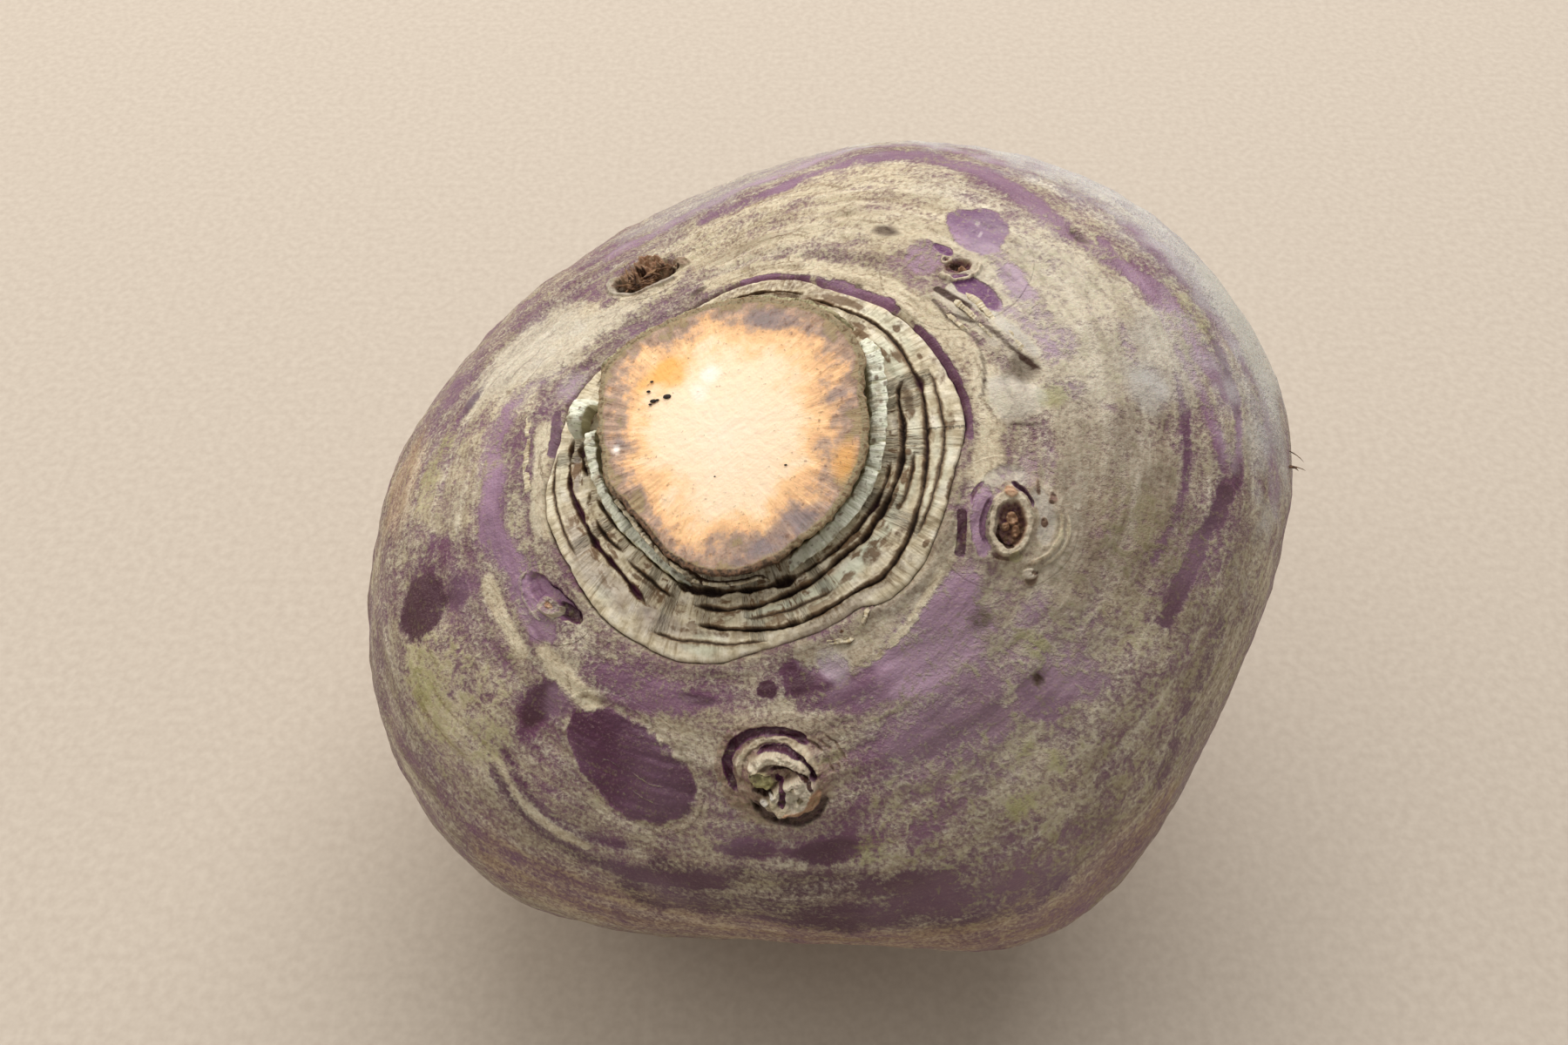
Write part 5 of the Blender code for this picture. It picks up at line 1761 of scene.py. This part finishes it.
@dataclass
class Collar:
    """Scars of the cut leaves round the neck: ribbed terraces that step up to it between splits."""

    steps: int = 760
    rings: int = 124
    inner: float = 12.6
    rise: float = 0.1
    # Rings inside the inner radius, and rings that turn under beyond the edge
    inside: int = 2
    under: int = 6
    # From the edge on, each ring's share of the edge's radius, and its drop in mm
    under_share: tuple[float, ...] = (1, 1.003, 1, 0.98, 0.8, 0.4, 0)
    under_drop: tuple[float, ...] = (0, 0.5, 1.2, 2, 2.2, 2.2, 2.2)
    finish: CollarFinish = field(default_factory=CollarFinish)

    def build(self) -> Object:
        """Model the terraces and dress them.

        Returns:
            The new piece.
        """
        net = Net.make("leaf_scars", self.steps, self.rings)
        row = net.down_share * self.rings
        azimuth = net.round_share * 360
        circle = crown_points(azimuth, 22)
        edge = np.interp(azimuth, *np.array(COLLAR_EDGE, float).T, period=360)
        edge = edge + 0.12 * grain(circle, 1.6, 2, 101) - 0.12
        out = np.clip((row - self.inside) / (self.rings - self.inside - self.under), 0, 1)
        below = np.clip(row - (self.rings - self.under), 0, self.under)
        radius = np.where(row < self.inside, self.inner * row / self.inside,
                          self.inner + (edge - self.inner) * out)
        radius = radius * np.interp(below, range(self.under + 1), self.under_share)
        plan = crown_points(azimuth, radius)
        # It parts from the shoulder in front, and grows into it elsewhere
        parted = smooth_step(52, 30, np.abs(round_gap(azimuth, 277)))
        lift = self.rise - (0.12 + 0.25 * parted) * np.exp(-(edge - radius) / 0.22)
        splits = np.zeros((len(azimuth), 3))
        scar = np.zeros(len(azimuth))
        wander = 0.14 * grain(plan, 2.4, 3, 103) + 0.05 * grain(plan, 0.6, 2, 105)
        uneven = grain(circle, 3, 3, 111)
        for number, split in enumerate(SPLITS):
            line, past = follow(split.path, azimuth)
            body = smooth_step(0, -6, past)
            gap = radius - line + wander
            half = 0.34 * split.width * (0.35 + 0.65 * body) * (1 + 1.3 * uneven)
            open_share = body ** 0.5 * smooth_step(half + 0.12, half - 0.08, np.abs(gap))
            lip = body * np.exp(-((np.abs(gap) - half - 0.22) / 0.16) ** 2)
            lift += split.step * body * smooth_step(0.15, -0.25, gap) + 0.1 * lip
            lift -= split.depth * open_share
            scar += (3 + 1.7 * number) * body * (gap < 0)
            shade = body ** 0.5 * smooth_step(half + 0.5, half - 0.25, np.abs(gap))
            splits[:, 0] = np.maximum(splits[:, 0], shade)
            splits[:, 1] = np.maximum(splits[:, 1] * (1 - open_share), split.stain * open_share)
            splits[:, 2] = np.maximum(splits[:, 2], 0.7 * lip)
        # The floor darkens under the neck: painted shade where the neck overhangs it
        splits[:, 0] = np.maximum(splits[:, 0], smooth_step(15.6, 14.6, radius))
        hue = np.zeros((len(azimuth), 3))
        for stain in STAINS:
            far = np.hypot(round_gap(azimuth, stain.azimuth) / stain.half_round,
                           (radius - stain.radius) / stain.half_out)
            weight = smooth_step(1.4, 0.5, far + 3 * wander)
            hue += np.outer(weight, (stain.mint, stain.lilac, stain.brown))
        # Each scar is a little hollow, puckered by its ribs
        section = np.column_stack((azimuth * 0.38, radius, scar))
        lift += 0.05 * grain(section * (1, 0.15, 1), 0.8, 2, 107)
        lift += 0.14 * grain(section, 2, 3, 109)
        drop = np.interp(below, range(self.under + 1), self.under_drop)
        height = FORM.shoulder(radius) + lift - drop
        crown = crown_points(azimuth, radius, height)
        crown[:, 2] += unevenness(crown)
        mesh = net.settle(FORM.lift(crown * MM))
        add_field(mesh, "section", section)
        add_field(mesh, "splits", splits)
        add_field(mesh, "hue", np.clip(hue, 0, 1.2))
        return show(mesh, self.finish.build())


# ---- walls of tissue


@dataclass
class Wall:
    """A thin standing wall along a line in a plane, in mm, before it is set on the root."""

    net: Net
    # Length along the line, -1 to 1 across the wall, -1 at its foot to 1 at its top, 0 at its tips
    along: Array
    across: Array
    up: Array
    body: Array
    middle: Array
    side: Array
    # Vertices round the wall, and the distance between them along it
    STEPS: ClassVar[int] = 26
    SPACING: ClassVar[float] = 0.2
    # How square its section is: 1 is round, and 0 square
    ROUNDNESS: ClassVar[float] = 0.4

    @classmethod
    def make(cls, name: str, line: Array, tip: float) -> Wall:
        """Lay a net along a line.

        Args:
            name: The mesh's name.
            line: Close-set points of the line, two columns.
            tip: Length over which each end draws in.

        Returns:
            The wall's net and its coordinates.
        """
        arc = np.concatenate(([0], np.cumsum(np.linalg.norm(np.diff(line, axis=0), axis=1))))
        net = Net.make(name, cls.STEPS, max(int(arc[-1] / cls.SPACING), 16))
        along = net.down_share * arc[-1]
        heading = np.gradient(line, axis=0)
        heading /= np.linalg.norm(heading, axis=1, keepdims=True)
        middle = np.column_stack([np.interp(along, arc, column) for column in line.T])
        side = np.column_stack((np.interp(along, arc, heading[:, 1]), -np.interp(along, arc, heading[:, 0])))
        angle = net.round_share * math.tau
        across, up = (np.sign(part) * np.abs(part) ** cls.ROUNDNESS
                      for part in (np.cos(angle), np.sin(angle)))
        body = smooth_step(0, tip, np.minimum(along, arc[-1] - along))
        return cls(net, along, across, up, body, middle, side)


class Tissue(Enum):
    """What the foot of a leaf stalk is made of: its finish's name, and its top, shade and side tones."""

    MINT = ("mint_leaf_base", "#f2f4e6", "#dce2cc", "#aca683")
    OLIVE = ("olive_leaf_base", "#bcb795", "#918865", "#5d4a35")
    CORKY = ("corky_leaf_base", "#ddd5bf", "#b9aa88", "#6b5340")


@dataclass(frozen=True)
class LeafBase:
    """The foot of one cut leaf stalk: a thin curved wall that stands in the collar.

    Its path is azimuths in degrees and radii in mm. rise is how far its top stands above the smooth
    shoulder, at even steps along it, and lean moves its top outwards, in mm.
    """

    name: str
    path: Pairs
    width: float
    rise: tuple[float, ...]
    lean: float = 0.0
    crack: float = 0.35
    depth: float = 2.2
    tissue: Tissue = Tissue.CORKY
    tip: float = 4.0

    def build(self, material: Material) -> Object:
        """Model the wall and dress it.

        Args:
            material: The finish of its tissue.

        Returns:
            The new piece.
        """
        azimuths, radii = np.array(self.path).T
        share = np.linspace(0, 1, 500)
        azimuths = azimuths + 360 * np.cumsum(np.diff(azimuths, prepend=azimuths[0]) < -180)
        line = crown_points(through(azimuths, share), through(radii, share))[:, :2]
        wall = Wall.make(self.name, line, self.tip)
        seed = float(self.path[0][0] + self.path[0][1])
        flat = 0 * wall.along
        track = np.column_stack((wall.along, 3 * wall.across, flat))
        wobble = grain(np.column_stack((wall.along, flat, flat)), 3.2, 3, seed)
        half = 0.5 * self.width * (0.3 + 0.7 * wall.body) * (1 + 0.25 * wobble)
        ragged = 0.1 * grain(track, 0.7, 2, seed + 3)
        # Thin cracks cross the wall at uneven distances
        draw = random.Random(seed)
        notch = flat
        place = draw.uniform(1, 4)
        while place < wall.along.max() and self.crack > 0:
            slant = wall.along - place - draw.uniform(-0.3, 0.3) * wall.across
            notch = notch + draw.uniform(0.3, 1) * self.crack * np.exp(-(slant / 0.13) ** 2)
            place += draw.uniform(1, 5)
        rise = through(self.rise, wall.net.down_share)
        top = rise + 0.34 * wall.body * grain(track, 3, 4, seed + 5) + 1.6 * ragged - notch
        lift = np.where(wall.up > 0, top * wall.up + rise * (1 - wall.up), rise)
        lift -= self.depth * (1 - wall.up) * 0.5 + (1 - wall.body) * (rise + 1.3)
        outward = wall.across * half + self.lean * (wall.up - 1) * 0.5 + ragged * 1.6
        plan = wall.middle + wall.side * outward[:, None]
        height = FORM.shoulder(np.linalg.norm(plan, axis=1)) + lift
        crown = np.column_stack((plan, height))
        mesh = wall.net.settle(FORM.lift(crown * MM))
        add_field(mesh, "crown", crown)
        add_field(mesh, "section", np.column_stack((wall.along, wall.across * self.width * 0.5,
                                                    wall.up - notch * 1.2)))
        return show(mesh, material)


LEAF_BASES = (
    LeafBase("leaf_base_inner_left", (
        (163, 19), (174, 17.8), (186, 16.9), (200, 16.1), (214, 15.5), (230, 15.3), (244, 15.8),
        (257, 16.7)), 1.3, (4, 3.7, 3.3, 2.8, 2.2, 1.8, 1.5), tissue=Tissue.MINT, crack=0.3, tip=3.4),
    LeafBase("leaf_base_inner_right", (
        (284, 16.6), (298, 16.1), (312, 16.2), (326, 16.5), (340, 16.9), (354, 17), (8, 17.3), (22, 18.3),
        (34, 19), (44, 19.4)), 1.8, (1.5, 2.2, 2.7, 2.9, 3.1, 3.3, 3.4, 3.5, 3), lean=0.9,
        tissue=Tissue.MINT, tip=6),
    LeafBase("leaf_base_inner_far", (
        (36, 19.2), (50, 19.3), (68, 19.4), (92, 20), (112, 20.5), (130, 21.3), (146, 21.2), (156, 20.2)),
        0.9, (2.4, 3, 3.3, 3.6, 3.9, 3.9), tissue=Tissue.OLIVE, tip=5),
    LeafBase("leaf_flap", (
        (152, 20.6), (158, 21.1), (164, 21.2), (170, 20.9), (175, 20.2)), 2.3, (3.2, 3.7, 3.3, 2.2),
        lean=0.8, tissue=Tissue.MINT, crack=0, tip=3.2),
    LeafBase("rim_peel", (
        (200, 15.3), (212, 14.5), (222, 14.4), (236, 14.9), (250, 16), (262, 16.7)), 0.5,
        (4.2, 4.6, 4.9, 5, 4.9, 4.5), lean=0.5, depth=1.4, crack=0.5, tip=2),
    LeafBase("rim_flake", (
        (252, 16.4), (262, 17), (272, 17.1), (282, 16.9), (290, 16.6)), 0.5, (3.4, 4, 3.8, 3.4), lean=0.6,
        depth=1.6, crack=0.6, tip=2),
    LeafBase("shoulder_ridge", ((158, 30.8), (169, 28.6), (182, 26.8), (195, 25.8)), 1, (0.2, 0.35, 0.3)),
    LeafBase("torn_ridge_a", (
        (10, 30.6), (16, 29.6), (23, 28.9), (30, 28.4), (37, 28)), 0.7, (0.4, 0.6, 0.5), crack=0.5),
    LeafBase("torn_ridge_b", (
        (9, 32.2), (15, 31), (22, 30.2), (30, 29.7), (36, 29.3)), 0.9, (0.4, 0.7, 0.4), crack=0.5),
    LeafBase("torn_ridge_c", (
        (17, 28.3), (24, 27.3), (31, 26.9), (36, 27.2)), 0.5, (0.3, 0.45, 0.3), crack=0.5),
    LeafBase("triangle_scale_a", (
        (293, 24.3), (297, 25.3), (301, 25.9), (304, 25.5)), 0.45, (0.35, 0.5, 0.4), crack=0.2, tip=1.6),
    LeafBase("triangle_scale_b", (
        (303, 25.7), (306, 25.1), (309, 24.2), (311, 23.6)), 0.5, (0.4, 0.6, 0.4), crack=0.2, tip=1.6),
)


# ---- buds


@dataclass(frozen=True)
class Lump:
    """A knob of dry tissue: its seat, its half sizes and height in mm, and how rough and lumpy it is."""

    name: str
    azimuth: float
    polar: float
    half_round: float
    half_down: float
    height: float
    rough: float
    lump_mm: float
    steps: int = 72
    rings: int = 44

    def build(self, material: Material) -> Object:
        """Model the knob, sunk in the rind, and dress it.

        Args:
            material: Its finish.

        Returns:
            The new piece.
        """
        net = Net.make(self.name, self.steps, self.rings)
        turn, down = net.round_share * math.tau, net.down_share * math.pi
        ball = np.column_stack((np.sin(down) * np.cos(turn), np.sin(down) * np.sin(turn), np.cos(down)))
        local = ball * (self.half_round, self.half_down, self.height)
        swell = 1 + self.rough * grain(local, self.lump_mm, 4, self.azimuth) / self.lump_mm
        places = Seat.at(self.azimuth, self.polar).world(local * swell[:, None])
        return show(net.settle(places), material)


@dataclass(frozen=True)
class Strand:
    """One dry fibre: where it starts, where it heads, how it bends, and its size in mm."""

    azimuth: float
    polar: float
    heading: tuple[float, float, float]
    length: float
    width: float
    bend: tuple[float, float, float]
    offset: tuple[float, float] = (0.0, 0.0)

    def places(self, net: Net) -> Array:
        """World places of a net's vertices, drawn out into the fibre.

        Args:
            net: The net that each fibre starts from.

        Returns:
            One row for each vertex.
        """
        share = net.down_share
        heading = Vector(self.heading).normalized()
        side = heading.orthogonal().normalized()
        other = heading.cross(side)
        angle = net.round_share * math.tau
        half = 0.5 * self.width * np.sqrt(np.clip(1 - share, 0, 1)) * (share > 0)
        half = half * (0.85 + 0.15 * np.cos(share * 19))
        ring = (np.outer(np.cos(angle) * half, np.array(side))
                + np.outer(np.sin(angle) * half, np.array(other)))
        spine = (np.outer(share * self.length, np.array(heading))
                 + np.outer(share ** 2 * self.length, np.array(self.bend)))
        local = spine + ring + (*self.offset, -0.5)
        return Seat.at(self.azimuth, self.polar).world(local)


@dataclass
class Fibres:
    """The withered shoot's fibres, and the thin dry roots on the root's sides."""

    seed: int = 11
    tuft_count: int = 34
    each_row: int = 26
    steps: int = 5
    rings: int = 9

    def tuft(self) -> list[Strand]:
        """Fibres of the withered shoot, standing every way out of its hollow.

        Returns:
            The fibres.
        """
        draw = random.Random(self.seed)
        return [Strand(116, 46, (draw.uniform(-1.6, 1.6), draw.uniform(-1, 1), draw.uniform(0.1, 0.8)),
                       draw.uniform(1.2, 2.8), draw.uniform(0.3, 0.7),
                       (draw.uniform(-0.5, 0.5), draw.uniform(-0.5, 0.5), draw.uniform(-0.6, 0)),
                       (draw.uniform(-3, 3), draw.uniform(-1.6, 1.2)))
                for _ in range(self.tuft_count)]

    def rootlets(self) -> list[Strand]:
        """Thin roots left along the two rows of side roots, and three hairs on the right.

        Returns:
            The rootlets.
        """
        draw = random.Random(self.seed + 1)
        rows = [Strand(side + draw.uniform(-9, 9), draw.uniform(100, 150),
                       (draw.uniform(-1, 1), draw.uniform(-0.2, 1), draw.uniform(0.2, 0.9)),
                       draw.uniform(1.5, 4.5), draw.uniform(0.18, 0.4),
                       (draw.uniform(-0.4, 0.4), draw.uniform(0, 0.6), draw.uniform(-0.4, 0)))
                for side in SIDE_ROOTS for _ in range(self.each_row)]
        hairs = [Strand(1, 74, (0.1, 0.5, 0.9), 2.4, 0.45, (0, 0.9, -0.5)),
                 Strand(1.5, 75, (0.1, 0.9, 0.4), 7, 0.22, (0.1, 0.3, -0.2)),
                 Strand(3, 74, (-0.3, 0.7, 0.7), 4, 0.2, (0.1, 0.5, -0.3))]
        return rows + hairs

    def build(self, material: Material) -> None:
        """Model both groups and dress them.

        Args:
            material: Their finish.
        """
        for name, strands in (("withered_fibres", self.tuft()), ("rootlets", self.rootlets())):
            net = Net.make(name + "_net", self.steps, self.rings)
            mesh = gather(name, net, (strand.places(net) for strand in strands))
            bpy.data.meshes.remove(net.mesh)
            show(mesh, material)


@dataclass
class Knobs:
    """Knobs beside the collar's triangular scale, and the stubs of the side roots below."""

    # Stubs in each row, the first one's polar angle, and the degrees down and sideways to the next
    each_row: int = 4
    top: float = 108.0
    apart: float = 11.0
    stagger: float = 9.0

    def build(self) -> None:
        """Model each knob and dress it."""
        lip = TissueFinish("dry_bud_lip", "#ccb695", "#a08164", "#5e4433").build()
        rot = TissueFinish("rotted_pith", "#8d6a4b", "#5b3d29", "#2a1a12", 0.9, 0.85).build()
        knob = TissueFinish("corky_knob", "#c4a786", "#97785c", "#5a4030").build()
        Lump("triangle_core", 299.5, 32, 0.5, 0.6, 0.35, 0.3, 0.5).build(rot)
        for row, side in enumerate(SIDE_ROOTS):
            for number in range(self.each_row):
                polar = self.top + self.apart * number
                azimuth = side + (self.stagger if number % 2 else -self.stagger)
                Lump(f"side_root_{row}_{number}", azimuth, polar, 1.9, 1.4, 0.9, 0.3, 0.8).build(knob)
                Lump(f"side_root_core_{row}_{number}", azimuth, polar, 0.9, 0.7, 1.5, 0.2, 0.6).build(lip)


@dataclass
class Tail:
    """The tail, cut across and healed: a low post with a dry, radially cracked end."""

    rim: float = 7.4
    root_height: float = -46.0
    end_height: float = -51.0
    steps: int = 160
    rings: int = 40
    ground_gap: float = 0.3
    # From inside the root to the cut end, shares of the rim and of the height between the two ends
    shares: tuple[float, ...] = (0, 0.8, 1.12, 1.06, 1, 0.97, 0.7, 0.4, 0)
    levels: tuple[float, ...] = (0, 0, 0.2, 0.6, 0.9, 1, 0.97, 0.93, 0.9)

    def build(self, material: Material) -> Object:
        """Model the post, kept clear of the ground, and dress it.

        Args:
            material: Its finish.

        Returns:
            The new piece.
        """
        net = Net.make("tail_cut", self.steps, self.rings)
        azimuth = net.round_share * 360
        circle = crown_points(azimuth, 1)
        share = through(self.shares, net.down_share)
        level = through(self.levels, net.down_share)
        radius = self.rim * share * (1 + 0.06 * grain(circle, 0.6, 3, 81))
        radius = np.where((net.down_share > 0) & (net.down_share < 1), radius, 0)
        height = self.root_height + (self.end_height - self.root_height) * level
        spoke = circle * 6 + np.outer(radius, (0, 0, 0.2))
        height += 0.25 * grain(spoke, 1, 3, 83) * (share < 1)
        places = FORM.lift(crown_points(azimuth, radius, height) * MM)
        places[:, 2] = np.maximum(places[:, 2], self.ground_gap * MM)
        return show(net.settle(places), material)


# ---- setting


@dataclass
class Studio:
    """A pale board, soft lights behind the root, and the camera."""

    camera_place: tuple[float, float, float] = (0.0, -0.1217, 0.2128)
    camera_pitch: float = 38.0
    lens: float = 32.8
    sensor: float = 36.0
    # The point in the root that the lamps face, the board's size in metres, and the room's brightness
    target: tuple[float, float, float] = (0.0, 0.0, 0.04)
    board_size: float = 5.0
    room: float = 0.5

    def floor(self) -> None:
        """Lay the board that the root stands on."""
        form = bmesh.new()
        bmesh.ops.create_grid(form, x_segments=1, y_segments=1, size=self.board_size)
        mesh = mesh_of(form, "floor")
        mesh.materials.append(BoardFinish().build())
        add_object("floor", mesh)

    def lamp(self, name: str, place: tuple[float, float, float], size: float, power: float,
             tint: str) -> None:
        """Hang a square soft lamp that faces the root.

        Args:
            name: Its name.
            place: Where it hangs, in metres.
            size: Its side.
            power: Its power in watts.
            tint: Its colour.
        """
        light = bpy.data.lights.new(name, "AREA")
        light.size = size
        light.energy = power
        light.color = colour(tint)[:3]
        lamp = add_object(name, light)
        lamp.location = place
        heading = Vector(self.target) - Vector(place)
        lamp.rotation_euler = heading.to_track_quat("-Z", "Y").to_euler()

    def build(self) -> None:
        """Set up the floor, the light and the camera, and show colours as they are."""
        bpy.context.scene.view_settings.view_transform = "Standard"
        self.floor()
        self.lamp("window_light", (0.1, 0.72, 1.02), 1.2, 16.5, "#fffaf5")
        self.lamp("fill_light", (-0.75, 0.25, 0.85), 1, 5, "#fff6ea")
        world = bpy.data.worlds.new("soft_room")
        world.use_nodes = True
        background = world.node_tree.nodes["Background"]
        background.inputs["Color"].default_value = colour("#efe9e1")
        background.inputs["Strength"].default_value = self.room
        bpy.context.scene.world = world
        view = bpy.data.cameras.new("camera")
        view.lens = self.lens
        view.sensor_width = self.sensor
        camera = add_object("camera", view)
        camera.location = self.camera_place
        camera.rotation_euler = (math.radians(self.camera_pitch), 0, 0)
        bpy.context.scene.camera = camera


def main() -> None:
    """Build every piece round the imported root, and note the sizes."""
    logging.basicConfig(level=logging.INFO, format="%(message)s")
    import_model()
    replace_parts(Rind().build(), NODE)
    Collar().build()
    Neck().build()
    CutSpecks().build(TissueFinish("black_mould", "#2b211c", "#1c1613", "#100c0a").build())
    dress = {tissue: LeafBaseFinish(*tissue.value).build() for tissue in Tissue}
    for base in LEAF_BASES:
        base.build(dress[base.tissue])
    Knobs().build()
    Fibres().build(TissueFinish("dry_fibre", "#9a7a5a", "#6d4d36", "#382318").build())
    Tail().build(TissueFinish("healed_tail", "#b39a78", "#8d7153", "#4d3626", 1.6).build())
    Studio().build()
    bpy.context.view_layer.update()


if __name__ == "__main__":
    main()
